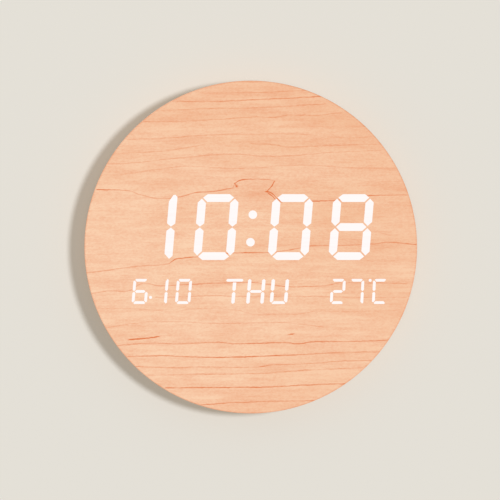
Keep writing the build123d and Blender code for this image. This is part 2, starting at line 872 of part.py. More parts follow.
# Buttons, their plungers and switches
switch_level = board_back_level - switch_height
plunger_level = switch_level - plunger_proud
button_places = {"set": time_row + button_pitch, "up": time_row, "down": time_row - button_pitch}
button_x = -half_chord(ring_inner_radius - button_rim_gap, button_places["set"])
for name, z in button_places.items():
    with BuildPart() as switch:
        with Locations(rear_spot(button_x, z, board_back_level)):
            Box(switch_width, switch_width, switch_height, align=SEATED)
        with Locations(rear_spot(button_x, z, switch_level)):
            Hole(plunger_diameter / 2 + plunger_clearance, plunger_inside + plunger_end_gap)
    finish(switch.part, f"{name}_switch")

    with BuildPart() as plunger:
        with Locations(rear_spot(button_x, z, plunger_level)):
            Cylinder(plunger_diameter / 2, plunger_proud + plunger_inside, align=SUNK)
    finish(plunger.part, f"{name}_plunger")

    with BuildPart() as button:
        with Locations(rear_spot(button_x, z, rear_level - button_proud)):
            Cylinder(button_diameter / 2, button_proud + cover_thickness, align=SUNK)
        fillet(button.edges().sort_by(Axis.Y)[-1], button_edge_round)
        with Locations(rear_spot(button_x, z, cover_inner_level)):
            Cylinder(button_diameter / 2 + button_flange_width, button_flange_thickness, align=SUNK)
            Cylinder(button_stem_diameter / 2, plunger_level - cover_inner_level, align=SUNK)
    finish(button.part, f"{name}_button")

# Backup cells, lying side by side across the clock
cell_level = rear_level + door_thickness + cell_door_room + cell_diameter / 2
bay_floor_level = cell_level + cell_diameter / 2 + cell_floor_gap
cell_rows = [bay_middle + cell_row_span / 2 - index * cell_pitch for index in range(len(cell_names))]
for index, z in enumerate(cell_rows):
    plus_side = -1 if index % 2 else 1
    cell_axis = Plane(origin=(0, -cell_level, z), z_dir=(plus_side, 0, 0)).offset(-cell_length / 2)
    with BuildPart() as cell:
        with BuildSketch(cell_axis):
            Circle(cell_diameter / 2)
        extrude(amount=cell_length - cell_nub_height)
        with BuildSketch(cell_axis.offset(cell_length - cell_nub_height)):
            Circle(cell_nub_diameter / 2)
        extrude(amount=cell_nub_height)
    finish(cell.part, f"battery_cell_{cell_names[index]}")

# Sprung contacts on the bay's end walls
connector_level = board_back_level - connector_height / 2
contact_low_level = cell_level - contact_half_height
wall_x = bay_length / 2
lead_end_z = bay_top - bay_wall - lead_inset
contacts = {
    "positive_contact": (1, cell_rows[:1], True),
    "right_bridge_contact": (1, cell_rows[1:], False),
    "left_bridge_contact": (-1, cell_rows[:2], False),
    "negative_contact": (-1, cell_rows[2:], True),
}
for name, (side, rows, has_tail) in contacts.items():
    plate_x = side * (wall_x - contact_thickness)
    crest_x = side * (cell_length / 2 + leaf_cell_gap)
    with BuildPart() as contact:
        plate_top = rows[0] + contact_half_span
        plate_bottom = rows[-1] - contact_half_span
        with BuildSketch(at_height(contact_low_level)):
            with Locations((side * (wall_x - contact_thickness / 2), (plate_top + plate_bottom) / 2)):
                Rectangle(contact_thickness, plate_top - plate_bottom)
        extrude(amount=2 * contact_half_height)
        if has_tail:
            tail_top = connector_level + contact_tail_width / 2
            with BuildSketch(at_height(contact_low_level)):
                with Locations((side * (wall_x - contact_thickness / 2), rows[0])):
                    Rectangle(contact_thickness, 2 * contact_half_span)
            extrude(amount=tail_top - contact_low_level)
            with BuildSketch(at_height(tail_top - contact_tail_width)):
                with Locations((side * (wall_x - contact_thickness / 2), (rows[0] + lead_end_z) / 2)):
                    Rectangle(contact_thickness, abs(lead_end_z - rows[0]))
            extrude(amount=contact_tail_width)
        inner_x = crest_x + side * contact_thickness
        foot = leaf_half_span - 2 * contact_thickness
        crest = leaf_crest_half_span - contact_thickness / 2
        with BuildSketch(at_height(cell_level - leaf_width / 2)):
            for z in rows:
                Polygon((plate_x, z + leaf_half_span), (crest_x, z + leaf_crest_half_span),
                        (crest_x, z - leaf_crest_half_span), (plate_x, z - leaf_half_span),
                        (plate_x, z - foot), (inner_x, z - crest),
                        (inner_x, z + crest), (plate_x, z + foot), align=None)
        extrude(amount=leaf_width)
    finish(contact.part, name)

# Board connector and the two leads that run to it inside the case
connector_z = board_bottom + connector_rise + connector_length / 2
connector_bottom = connector_z - connector_length / 2
with BuildPart() as battery_connector:
    with Locations(rear_spot(0, connector_z, board_back_level)):
        Box(connector_width, connector_length, connector_height, align=SEATED)
finish(battery_connector.part, "battery_connector")

lead_wire_radius = lead_wire_diameter / 2
lead_x = wall_x - contact_thickness - lead_tail_gap - lead_wire_radius
lead_turn_z = (bay_top + connector_bottom) / 2
with BuildPart() as battery_leads:
    for side in (-1, 1):
        start_x = side * lead_x
        end_x = side * connector_pitch / 2
        lead_route = ((start_x, lead_end_z), (start_x, lead_turn_z),
                      (end_x, lead_turn_z), (end_x, connector_bottom))
        with BuildLine() as lead_path:
            FilletPolyline(*[(x, -connector_level, z) for x, z in lead_route], radius=lead_bend_radius)
        with BuildSketch(Plane(origin=(start_x, -connector_level, lead_end_z), z_dir=(0, 0, 1))):
            Circle(lead_wire_radius)
        sweep(path=lead_path.wires()[0])
finish(battery_leads.part, "battery_leads")

# Back cover with its battery bay, plug pocket, hanger recess and openings
door_width = bay_length + 2 * door_overlap
door_height = bay_height + 2 * door_overlap
door_seat_level = rear_level + door_thickness + door_gap
door_top = bay_middle + door_height / 2
door_bottom = bay_middle - door_height / 2
hinge_z = door_top - door_thickness / 2
hinge_level = rear_level + door_thickness / 2
hanger_z = ring_inner_radius - hanger_rim_gap - hanger_height / 2
hanger_screw_places = [(0, hanger_z + side * hanger_screw_pitch / 2) for side in (-1, 1)]
hanger_boss_height = hanger_screw_length - hanger_thickness + hanger_boss_floor
pocket_floor_level = inlet_level + pocket_floor_room
vent_z = board_bottom - vent_drop
with BuildPart() as back_cover:
    with BuildSketch(at_height(rear_level)):
        Circle(cover_radius)
    extrude(amount=cover_thickness)
    chamfer(back_cover.edges().group_by(Axis.Y)[-1], cover_edge_chamfer)
    # Outer walls of the bay, the pocket and the recess, and the hanger's screw bosses
    with BuildSketch(at_height(rear_level)):
        with Locations((0, bay_middle)):
            Rectangle(bay_length + 2 * bay_wall, bay_height + 2 * bay_wall)
    extrude(amount=bay_floor_level + bay_floor - rear_level)
    with BuildSketch(at_height(rear_level)):
        with Locations((inlet_x, pocket_middle)):
            RectangleRounded(pocket_width + 2 * pocket_wall, pocket_length + 2 * pocket_wall, pocket_corner)
    extrude(amount=pocket_floor_level + pocket_wall - rear_level)
    with BuildSketch(at_height(rear_level)):
        with Locations((0, hanger_z)):
            Rectangle(hanger_recess_width + 2 * hanger_recess_wall,
                      hanger_recess_height + 2 * hanger_recess_wall)
    extrude(amount=hanger_recess_depth + hanger_recess_wall)
    with Locations(*[rear_spot(x, z, rear_level) for x, z in hanger_screw_places]):
        Cylinder(hanger_boss_diameter / 2, hanger_boss_height, align=SUNK)
    # Hollows
    with BuildSketch(at_height(rear_level)):
        with Locations((0, bay_middle)):
            Rectangle(door_width + 2 * door_gap, door_height + 2 * door_gap)
    extrude(amount=door_seat_level - rear_level, mode=Mode.SUBTRACT)
    with BuildSketch(at_height(rear_level)):
        with Locations((0, bay_middle)):
            Rectangle(bay_length, bay_height)
    extrude(amount=bay_floor_level - rear_level, mode=Mode.SUBTRACT)
    with BuildSketch(at_height(rear_level)):
        with Locations((0, door_bottom)):
            Circle(finger_notch_diameter / 2)
    extrude(amount=finger_notch_depth, mode=Mode.SUBTRACT)
    with BuildSketch(at_height(rear_level)):
        with Locations((inlet_x, pocket_middle)):
            RectangleRounded(pocket_width, pocket_length, pocket_corner - pocket_wall)
    extrude(amount=pocket_floor_level - rear_level, mode=Mode.SUBTRACT)
    chamfer(back_cover.edges(Select.LAST).group_by(Axis.Y)[-1], cover_edge_chamfer)
    with BuildSketch(inlet_mouth.offset(pocket_top - inlet_mouth_z - overrun)):
        RectangleRounded(inlet_width + 2 * pocket_mouth_gap, inlet_height + 2 * pocket_mouth_gap,
                         inlet_corner + pocket_mouth_gap)
    extrude(amount=pocket_wall + 2 * overrun, mode=Mode.SUBTRACT)
    with BuildSketch(at_height(rear_level)):
        with Locations((0, hanger_z)):
            Rectangle(hanger_recess_width, hanger_recess_height)
    extrude(amount=hanger_recess_depth, mode=Mode.SUBTRACT)
    # Holes
    with Locations(*[rear_spot(x, z, rear_level) for x, z in cover_screw_places]):
        CounterSinkHole(screw_hole_radius, screw_head_radius + screw_hole_gap, cover_thickness)
    with Locations(*[rear_spot(x, z, rear_level) for x, z in hanger_screw_places]):
        Hole(screw_pilot_radius, hanger_screw_length - hanger_thickness + pilot_end_gap)
    with Locations(*[rear_spot(button_x, z, rear_level) for z in button_places.values()]):
        Hole(button_diameter / 2 + button_hole_gap, cover_thickness)
    with BuildSketch(at_height(rear_level)):
        with Locations((buzzer_x, buzzer_z)):
            Circle(sound_hole_diameter / 2)
            with PolarLocations(sound_hole_circle_radius, sound_hole_count):
                Circle(sound_hole_diameter / 2)
        with Locations((sensor_x, vent_z)):
            with GridLocations(vent_pitch, 0, vent_count, 1):
                SlotOverall(vent_length, vent_width, rotation=90)
    extrude(amount=cover_thickness, mode=Mode.SUBTRACT)
    chamfer(back_cover.edges(Select.LAST).group_by(Axis.Y)[-1], opening_edge_chamfer)
    # Hinge sockets for the door and holes for the leads
    pin_reach = door_width / 2 + door_pin_length + door_pin_end_gap
    with Locations(Plane(origin=(0, -hinge_level, hinge_z), z_dir=(1, 0, 0))):
        Cylinder(door_pin_diameter / 2 + door_pin_clearance, 2 * pin_reach, mode=Mode.SUBTRACT)
    with Locations((-lead_x, -connector_level, bay_top - bay_wall / 2),
                   (lead_x, -connector_level, bay_top - bay_wall / 2)):
        Cylinder(lead_wire_radius + lead_hole_gap, bay_wall + 2 * overrun, mode=Mode.SUBTRACT)
finish(back_cover.part, "back_cover")

# Battery door, hinged along its rounded top edge
ridge_spread = (door_ridge_count - 1) * door_ridge_pitch
with BuildPart() as battery_door:
    with BuildSketch(Plane.YZ.offset(-door_width / 2)):
        with BuildLine():
            Polyline((-rear_level, hinge_z), (-rear_level, door_bottom),
                     (-rear_level - door_thickness, door_bottom), (-rear_level - door_thickness, hinge_z))
            ThreePointArc((-rear_level - door_thickness, hinge_z), (-hinge_level, door_top),
                          (-rear_level, hinge_z))
        make_face()
    extrude(amount=door_width)
    chamfer(battery_door.edges().group_by(Axis.Y)[-1], door_edge_chamfer)
    with Locations(Plane(origin=(0, -hinge_level, hinge_z), z_dir=(1, 0, 0))):
        Cylinder(door_pin_diameter / 2, door_width + 2 * door_pin_length)
    with BuildSketch(at_height(rear_level - door_ridge_height)):
        with Locations((0, door_bottom + ridge_spread / 2 + door_ridge_pitch)):
            with GridLocations(0, door_ridge_pitch, 1, door_ridge_count):
                Rectangle(door_ridge_length, door_ridge_width)
    extrude(amount=door_ridge_height)
finish(battery_door.part, "battery_door")


def add_sunk_screw(length):
    """Add a countersunk screw at each location of the open part, its head flush there."""
    Cone(screw_radius, screw_head_radius, screw_head_depth, align=SUNK)
    Cylinder(screw_radius, length, align=SUNK)
    cut_screw_recess()


with BuildPart() as cover_screws:
    with Locations(*[rear_spot(x, z, rear_level) for x, z in cover_screw_places]):
        add_sunk_screw(cover_screw_length)
finish(cover_screws.part, "cover_screws")

# Keyhole hanger plate on the cover, with its entry below its slot
hanger_level = rear_level - hanger_thickness
keyhole_entry_z = hanger_z - keyhole_drop / 2
keyhole_end_z = hanger_z + keyhole_drop / 2
with BuildPart() as hanger_plate:
    with BuildSketch(at_height(hanger_level)):
        with Locations((0, hanger_z)):
            RectangleRounded(hanger_width, hanger_height, hanger_corner)
    extrude(amount=hanger_thickness)
    chamfer(hanger_plate.edges().group_by(Axis.Y)[-1], hanger_edge_chamfer)
    with BuildSketch(at_height(hanger_level)):
        with Locations((0, hanger_z)):
            Rectangle(keyhole_slot_width, keyhole_drop)
        with Locations((0, keyhole_entry_z)):
            Circle(keyhole_entry_diameter / 2)
        with Locations((0, keyhole_end_z)):
            Circle(keyhole_slot_width / 2)
    extrude(amount=hanger_thickness, mode=Mode.SUBTRACT)
    with Locations(*[rear_spot(x, z, hanger_level) for x, z in hanger_screw_places]):
        CounterSinkHole(screw_hole_radius, screw_head_radius + screw_hole_gap, hanger_thickness)
finish(hanger_plate.part, "hanger_plate")

with BuildPart() as hanger_screws:
    with Locations(*[rear_spot(x, z, hanger_level) for x, z in hanger_screw_places]):
        add_sunk_screw(hanger_screw_length)
finish(hanger_screws.part, "hanger_screws")

# Bumpers on the cover that rest against the wall
bumper_places = []
for quarter_x, quarter_z in ((1, 1), (-1, 1), (-1, -1), (1, -1)):
    x = quarter_x * bumper_circle_radius * cos(radians(bumper_angle))
    z = quarter_z * bumper_circle_radius * sin(radians(bumper_angle))
    bumper_places.append((x, z))
with BuildPart() as wall_bumpers:
    with BuildSketch(at_height(0)):
        with Locations(*bumper_places):
            Circle(bumper_diameter / 2)
    extrude(amount=bumper_height)
    fillet(wall_bumpers.edges().group_by(Axis.Y)[-1], bumper_edge_round)
finish(wall_bumpers.part, "wall_bumpers")
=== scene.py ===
"""Dresses a round wooden wall clock with a lit display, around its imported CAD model."""
from math import cos, pi, radians, sin, tau

import bmesh
import bpy
from bpy.props import FloatProperty, FloatVectorProperty, IntProperty, PointerProperty
from mathutils import Matrix, Vector


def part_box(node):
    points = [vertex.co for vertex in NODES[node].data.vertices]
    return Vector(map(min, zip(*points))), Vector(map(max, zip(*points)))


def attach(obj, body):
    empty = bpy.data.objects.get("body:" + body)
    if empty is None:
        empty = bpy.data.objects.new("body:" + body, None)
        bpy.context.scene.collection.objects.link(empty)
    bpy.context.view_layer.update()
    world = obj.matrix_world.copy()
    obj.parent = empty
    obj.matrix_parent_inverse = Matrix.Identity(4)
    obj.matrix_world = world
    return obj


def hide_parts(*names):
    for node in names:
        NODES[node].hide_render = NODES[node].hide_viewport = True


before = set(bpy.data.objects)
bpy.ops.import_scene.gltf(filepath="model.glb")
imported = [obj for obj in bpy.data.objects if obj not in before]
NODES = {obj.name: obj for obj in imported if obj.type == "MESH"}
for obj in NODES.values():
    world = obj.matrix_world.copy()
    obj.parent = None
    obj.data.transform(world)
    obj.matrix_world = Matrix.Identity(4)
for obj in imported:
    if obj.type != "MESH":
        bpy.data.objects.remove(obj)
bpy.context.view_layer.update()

bl_info = {
    "name": "Wooden Wall Clock",
    "version": (1, 0, 0),
    "blender": (4, 5, 0),
    "location": "3D View > Sidebar > Wall Clock",
    "description": "Dresses the packed wall clock with its wood, display, back and stage",
    "category": "Object",
}

MM = 0.001
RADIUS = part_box("edge_veneer")[1].x
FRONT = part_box("front_veneer")[0].y
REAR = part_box("back_cover")[1].y

# The disc in the photograph, in pixels of its square frame
PHOTO_WIDTH_PIXELS = 500
DISC_CENTRE_PIXELS = (250.71, 247.04)
DISC_RADIUS_PIXELS = 166.41

# Grain lines of the face from its top to its foot: strengths spread along the line from left to right,
# then places across and up from the middle of the clock in millimetres
GRAIN_LINES = (
    ((0.15, 0.21), ((-46, 138.8), (12, 139.5), (50, 141.3))),
    ((0.24, 0.50), ((-67, 131.2), (-41.5, 131.2), (9, 133), (63, 135.8))),
    ((0.12, 0.27), ((-81, 122.9), (-37, 124.9), (9, 125.7), (68, 129.1))),
    ((0.25, 0.23),
     ((-97, 113.2), (-80, 112.9), (-27, 115.2), (7, 117.2), (19, 116.9), (38, 119), (54, 118.8),
      (82, 121))),
    ((0.24, 0.12), ((-112, 97), (-76, 98.2), (-49, 100.5), (9, 101.9), (34, 102.1), (60, 100.5))),
    ((0.17, 0.10), ((72, 99), (92, 98.5), (112, 99.8))),
    ((0.27, 0.15), ((0, 93.3), (19, 92.4), (35.5, 90.2), (54, 90.9), (117, 92.8))),
    ((0.12, 0.20), ((-122, 84.3), (-81, 86.5), (-61, 89), (-41.5, 92.6))),
    ((0.26, 0.15),
     ((-128.5, 74.8), (-103, 76), (-78, 79), (-52, 81.4), (-17, 83.8), (14, 81.9), (38, 82.4), (68, 85),
      (120.5, 87.3))),
    ((0.18, 0.18),
     ((-118, 65), (-95, 68.4), (-68, 72), (-56, 72.8), (-17, 70.9), (7, 71.3), (33, 73.8), (62, 73.3),
      (97, 71), (132, 70.9))),
    ((0.95, 0.50, 0.36, 0.34, 0.26),
     ((-14.4, 57.2), (-12, 58.9), (-9.2, 60.2), (-1.9, 61), (9, 61.2), (21, 60))),
    ((0.55, 0.55), ((-16, 53.4), (-15.2, 55), (-14.2, 57.6))),
    ((0.95, 0.95), ((-14.9, 58), (-14.1, 57), (-13.3, 55.7), (-12.6, 54.2))),
    ((0.90, 1.00), ((14.2, 49.9), (17.6, 53.1), (19.3, 55.6), (21, 59.6))),
    ((0.50, 0.95), ((18, 53.2), (19.7, 55.6), (21.4, 59.6))),
    ((0.60, 0.95), ((12.5, 50), (14.4, 50.1), (16.5, 49.5), (19.3, 48.2), (23.8, 43.7), (28, 39.9))),
    ((0.70, 0.85, 1.00), ((14.6, 49.4), (17, 47.7), (19.3, 46.2), (22.2, 42.8))),
    ((0.80, 0.28, 0.26, 0.42, 0.46),
     ((-139, 51.9), (-111, 50.9), (-102, 47.9), (-93, 45.5), (-82, 43.7), (-61, 46), (-50, 48.9),
      (-32, 50.4), (-21.7, 52.4), (-15.7, 53.5))),
    ((0.60, 0.36), ((50, 41.6), (56, 41.5), (74, 41.9), (106, 46.3), (141, 47))),
    ((0.18, 0.06), ((115.6, 12.8), (127.4, 10.1))),
    ((0.28, 0.32, 0.36),
     ((-147.5, -23.4), (-129, -20.9), (-110, -18.2), (-95, -16.8), (-82, -15.9), (-73, -15.1))),
    ((0.60, 0.78, 0.88, 0.30),
     ((-74, -15.3), (-71, -13), (-68, -10.7), (-61, -10), (-53.5, -9.3), (-50, -9.2))),
    ((0.20, 0.60, 0.45, 0.28, 0.32, 0.58),
     ((-51, -9.3), (-15, -5.3), (15, -5), (36.5, -2.4), (54, 1), (79, 1.5), (110, 2.8), (123.5, 4.3),
      (149, 2.3))),
    ((0.31, 0.34),
     ((-143, -41.7), (-125, -39.5), (-115, -40.2), (-108, -38.8), (-100.6, -33.9), (-95, -32.7),
      (-82, -34.9), (-56, -33.7), (1, -31.7), (14, -33.4), (38, -35.9), (66, -34.9), (82, -32.2),
      (121.5, -32.4), (141, -32.9))),
    ((0.24, 0.21),
     ((-86.5, -45.2), (-52, -44.6), (-32, -43.6), (-9, -44.6), (43, -44.4), (105, -45.3), (141, -45.3))),
    ((0.12, 0.12),
     ((-138, -55.2), (-112, -55.5), (-87, -56.9), (-71, -58.4), (-50, -55.7), (-17, -56.2), (9, -61.1),
      (42, -60.6), (58, -58.1), (93, -58.3), (136, -56.7))),
    ((0.20, 0.16),
     ((-130, -72.7), (-105, -68.8), (-83.5, -67), (-24, -68.8), (29, -68.3), (54, -70.8), (66, -72.2))),
    ((0.10, 0.55, 0.30), ((32, -79.2), (36.8, -78.8), (40.8, -77.7))),
    ((0.92, 1.08, 0.98), ((-110.4, -83.5), (-96, -82.5), (-82, -80.5))),
    ((0.32, 0.34, 0.38, 0.66, 0.52, 0.44, 0.40),
     ((-120, -88.8), (-91, -86.6), (-66, -87.2), (-27, -85.9), (-15, -87.2), (34, -86.2), (40, -87.2),
      (62, -85.2), (85, -85.2), (123.5, -83.9))),
    ((0.47, 0.44, 0.44, 0.80, 0.76, 0.44, 0.32, 0.34),
     ((-111, -98.8), (-85.5, -98), (-35, -99.5), (19, -98), (48, -96.8), (87, -94.9), (117, -94.4))),
    ((0.32, 0.31),
     ((-103.6, -107.6), (-62, -108.9), (-51, -108.1), (-0.6, -108.7), (19, -106.4), (53, -105),
      (80.5, -102.8), (109, -102.2))),
    ((0.17, 0.32), ((-93, -115.7), (-61, -114.9), (19, -113.3), (40, -111.6), (101, -108.9))),
    ((0.52, 0.58), ((-77, -126.8), (-27, -126.6), (28.7, -125.6), (48, -124.4), (85, -123.1))),
    ((0.46, 0.38), ((-45, -142.2), (-17, -140.4), (57, -138.3))),
)

# Darker marks of the face, the knot's blush and hook and a fleck: place and reach across and up in
# millimetres, then the share of grain colour at the middle
MARKS = (
    ((5, 47), (22, 14), 0.12),
    ((-12.7, 55), (2, 1.8), 0.5),
    ((36.9, -78.4), (2.2, 0.8), 0.3),
)

# Pale and warm bands of the face: place and reach as above, then the share of warm wood at the middle
BANDS = (
    ((25, 106), (100, 11), -0.22),
    ((50, 90), (65, 6), 0.28),
    ((15, 66), (125, 11), -0.35),
    ((-30, 40), (42, 7), -0.5),
    ((85, 29), (55, 12), 0.55),
    ((0, -65), (135, 12), -0.25),
    ((70, -90), (25, 6), -0.45),
)

# Share of warm wood at the middle of the face, and what it gains to the right, upwards and at both ends
WARM_MIDDLE = 0.30
WARM_RIGHT = 0.35
WARM_UP = 0.25
WARM_ENDS = 0.35

# Noise of the veneer: waves to a metre along and across the grain, octaves and roughness
FINE_STREAKS = (55, 1000, 3, 0.65)
BROAD_STREAKS = (22, 260, 2, 0.6)
CLOUDS = (26, 100, 2, 0.6)
SPECKLE = (420, 900, 2, 0.6)
LINE_WANDER = (70, 140, 3, 0.5)
LINE_PATCHES = (90, 260, 3, 0.5)
FACE_DRIFT = (12, 50, 2, 0.5)
RIM_WANDER = (60, 120, 2, 0.5)
RIM_LINES = (5, 150, 1, 0.4)
RIM_PATCHES = (12, 120, 2, 0.5)
RIM_DRIFT = (7, 90, 2, 0.6)
LINE_TREMBLE = (260, 260, 2, 0.5)

# Lengths in the veneer: fade of a line's ends, start and end of the darker ring along the face's outer
# edge, joint, depth of the grain
LINE_FADE = 1.2 * MM
EDGE_START = 1.5 * MM
EDGE_END = 0.5 * MM
JOINT_WIDTH = 0.25 * MM
GRAIN_DEPTH = 0.03 * MM

# Ranges that hold most of a noise and its core
MOST = (0.3, 0.7)
CORE = (0.35, 0.65)

# Moulded finishes: screen colour where it isn't a setting, roughness, size and depth of the grain in
# millimetres, and spread of the colour
MOULDED = {
    "Diffuser film": ((242, 242, 239), 0.6, 0.3, 0.004, 0.03),
    "Reflector": ((235, 235, 232), 0.4, 0.4, 0.008, 0.04),
    "Lamp resin": ((243, 237, 203), 0.25, 0.2, 0.003, 0.05),
    "Natural nylon": ((237, 235, 228), 0.5, 0.3, 0.006, 0.04),
    "Chip resin": ((38, 38, 40), 0.6, 0.15, 0.008, 0.12),
    "Buzzer shell": ((48, 48, 49), 0.5, 0.25, 0.01, 0.12),
    "Sensor resin": ((48, 40, 34), 0.2, 0.5, 0.01, 0.12),
    "Switch body": ((62, 62, 63), 0.5, 0.2, 0.006, 0.12),
    "Cover plastic": (None, 0.52, 0.45, 0.07, 0.18),
    "Bumper rubber": ((58, 58, 57), 0.82, 0.25, 0.02, 0.18),
    "Button plastic": (None, 0.42, 0.25, 0.008, 0.12),
    "Button print": (None, 0.55, 0.15, 0.01, 0.08),
    "Plunger plastic": ((56, 56, 56), 0.4, 0.25, 0.005, 0.12),
    "Cell ring": ((226, 224, 216), 0.5, 0.3, 0.005, 0.05),
    "Door print": (None, 0.55, 0.15, 0.01, 0.08),
}

# Plated finishes: scene colour, roughness, and waves to a metre of the drawn lines
PLATED = {
    "Bright can": ((0.78, 0.78, 0.80), 0.24, (500, 500, 2400)),
    "Board screws": ((0.58, 0.58, 0.57), 0.34, (500, 500, 2400)),
    "Hanger zinc": ((0.66, 0.66, 0.64), 0.33, (500, 500, 2400)),
    "Screw zinc": ((0.62, 0.62, 0.60), 0.3, (1800, 600, 1800)),
    "Contact nickel": ((0.70, 0.68, 0.62), 0.28, (500, 500, 2400)),
}

# Grains across a flow mark of a moulding, and the swing of the roughness
FLOW_GRAINS = 60
ROUGH_SWING = 0.06

# Angles past which an edge stays sharp
PIECE_CREASE = radians(35)
SCREW_CREASE = radians(30)

# Screws: rim of the head, share of the shank at the thread's root, share of the pitch that a flank takes,
# share of the recess left at its floor, sides of the round, and the seeds of the turns
HEAD_RIM = 0.1 * MM
THREAD_ROOT = 0.82
THREAD_FLANK = 0.3
RECESS_FLOOR = 0.6
SCREW_SIDES = 32
COVER_SEED = 3
HANGER_SEED = 8

# The ring that marks the set button: its inner share and its sides
MARK_RING = 0.72
MARK_SIDES = 40

# Battery cells: crimp of the sleeve, dish of the foot, height of the nub and sides of the round
CELL_CRIMP = 0.35 * MM
CELL_DISH = 0.25 * MM
CELL_NUB = 0.8 * MM
CELL_SIDES = 48

# Directions from the clock towards its lights, and the wall's half width and gap behind the clock
KEY_DIRECTION = (0.484, -1, 0.066)
REAR_DIRECTION = (-0.5, 1, 0.6)
WALL_REACH = 6
WALL_GAP = 0.3 * MM

# Sockets of a mix node that takes colours
MIX_SHARE, MIX_FIRST, MIX_SECOND, MIX_RESULT = 0, 6, 7, 2


def linear(red, green, blue):
    """Scene colour of an 8-bit screen colour."""
    shares = [channel / 255 for channel in (red, green, blue)]
    return [share / 12.92 if share <= 0.04045 else ((share + 0.055) / 1.055) ** 2.4 for share in shares]


def colour_setting(name, description, red, green, blue):
    """A colour for a property group, given as an 8-bit screen colour."""
    return FloatVectorProperty(name=name, description=description, subtype="COLOR", size=3,
                               min=0, max=1, default=linear(red, green, blue))


def length_setting(name, description, millimetres):
    """A length for a property group, given in millimetres."""
    return FloatProperty(name=name, description=description, subtype="DISTANCE", default=millimetres * MM)


def share_setting(name, description, default, most=1):
    """A share for a property group, from nothing to the most that it may be."""
    return FloatProperty(name=name, description=description, subtype="FACTOR", min=0, max=most,
                         default=default)


def level_setting(name, description, default):
    """A level of light for a property group."""
    return FloatProperty(name=name, description=description, min=0, default=default)


class FaceSettings(bpy.types.PropertyGroup):
    """Veneer of the face and the rim."""
    pale_wood: colour_setting("Pale wood", "Veneer at its palest, on the left", 249, 207, 172)
    warm_wood: colour_setting("Warm wood", "Veneer at its warmest, at the top and right", 242, 190, 151)
    grain_colour: colour_setting("Grain", "Darkest colour of a grain line", 222, 108, 40)
    line_width: length_setting("Line width", "Width over which a grain line fades", 1.0)
    line_strength: share_setting("Line strength", "Darkness of the strongest grain line", 1.8, 3)
    streak_strength: share_setting("Streak strength", "Swing of the fine streaks", 0.36)
    speckle_strength: share_setting("Speckle strength", "Swing of the mottled speckle", 0.55)
    drift_strength: share_setting("Drift strength", "Swing between pale and warm wood", 1.3, 3)
    shade: share_setting("Shade", "Grain colour that the plain wood holds", 0.13)
    # Darkening of a ring along the outer edge of the face, towards the grain colour
    rim_shade: share_setting("Rim shade", "Grain colour along the sanded edge of the face", 0.22)


class DisplaySettings(bpy.types.PropertyGroup):
    """Lit bars and dots of the display."""
    veneer: colour_setting("Lit veneer", "Veneer over a lit bar", 226, 218, 216)
    glow: colour_setting("Glow", "Colour of the light through the veneer", 255, 250, 249)
    glow_strength: level_setting("Glow strength", "Light given by the bars", 0.24)


class BackSettings(bpy.types.PropertyGroup):
    """Cover, buttons and door at the back."""
    cover: colour_setting("Cover", "Moulded back cover", 46, 46, 48)
    button: colour_setting("Buttons", "Push buttons", 74, 74, 77)
    print_colour: colour_setting("Print", "Printed marks of the buttons and the door", 190, 190, 186)
    mark_height: length_setting("Mark height", "Height of a printed mark", 0.12)
    mark_size: length_setting("Mark size", "Width of a button's mark", 3.6)
    arrow_size: length_setting("Arrow size", "Width of the door's arrow", 7)


class ScrewSettings(bpy.types.PropertyGroup):
    """Countersunk screws of the cover and the hanger."""
    head: length_setting("Head", "Diameter of a screw head", 4.6)
    shank: length_setting("Shank", "Diameter over the thread", 2.6)
    recess_span: length_setting("Recess span", "Length of a bar of the cross recess", 2.6)
    recess_width: length_setting("Recess width", "Width of a bar of the cross recess", 0.7)
    recess_depth: length_setting("Recess depth", "Depth of the cross recess", 1.0)
    pitch: length_setting("Pitch", "Distance between two turns of the thread", 1.0)
    cover_count: IntProperty(name="Cover screws", description="Screws round the cover", default=6)


class StageSettings(bpy.types.PropertyGroup):
    """Wall, light and camera."""
    wall: colour_setting("Wall", "Colour of the wall", 228, 224, 215)
    shade_share: FloatVectorProperty(
        name="Shade share", description="Share of the wall's colour that a shadow keeps",
        size=3, min=0, max=1, default=(0.272, 0.25, 0.202))
    lens: FloatProperty(name="Lens", description="Focal length in millimetres", subtype="DISTANCE_CAMERA",
                        default=800)
    key_level: share_setting("Key level", "Share of the front's light from the key light", 0.62)
    sky_level: level_setting("Sky level", "Light from all round", 0.38)
    rear_level: level_setting("Rear level", "Light on the clock's back", 0.52)
    key_spread: FloatProperty(name="Key spread", description="Width of the key light as the clock sees it",
                              subtype="ANGLE", default=radians(10))


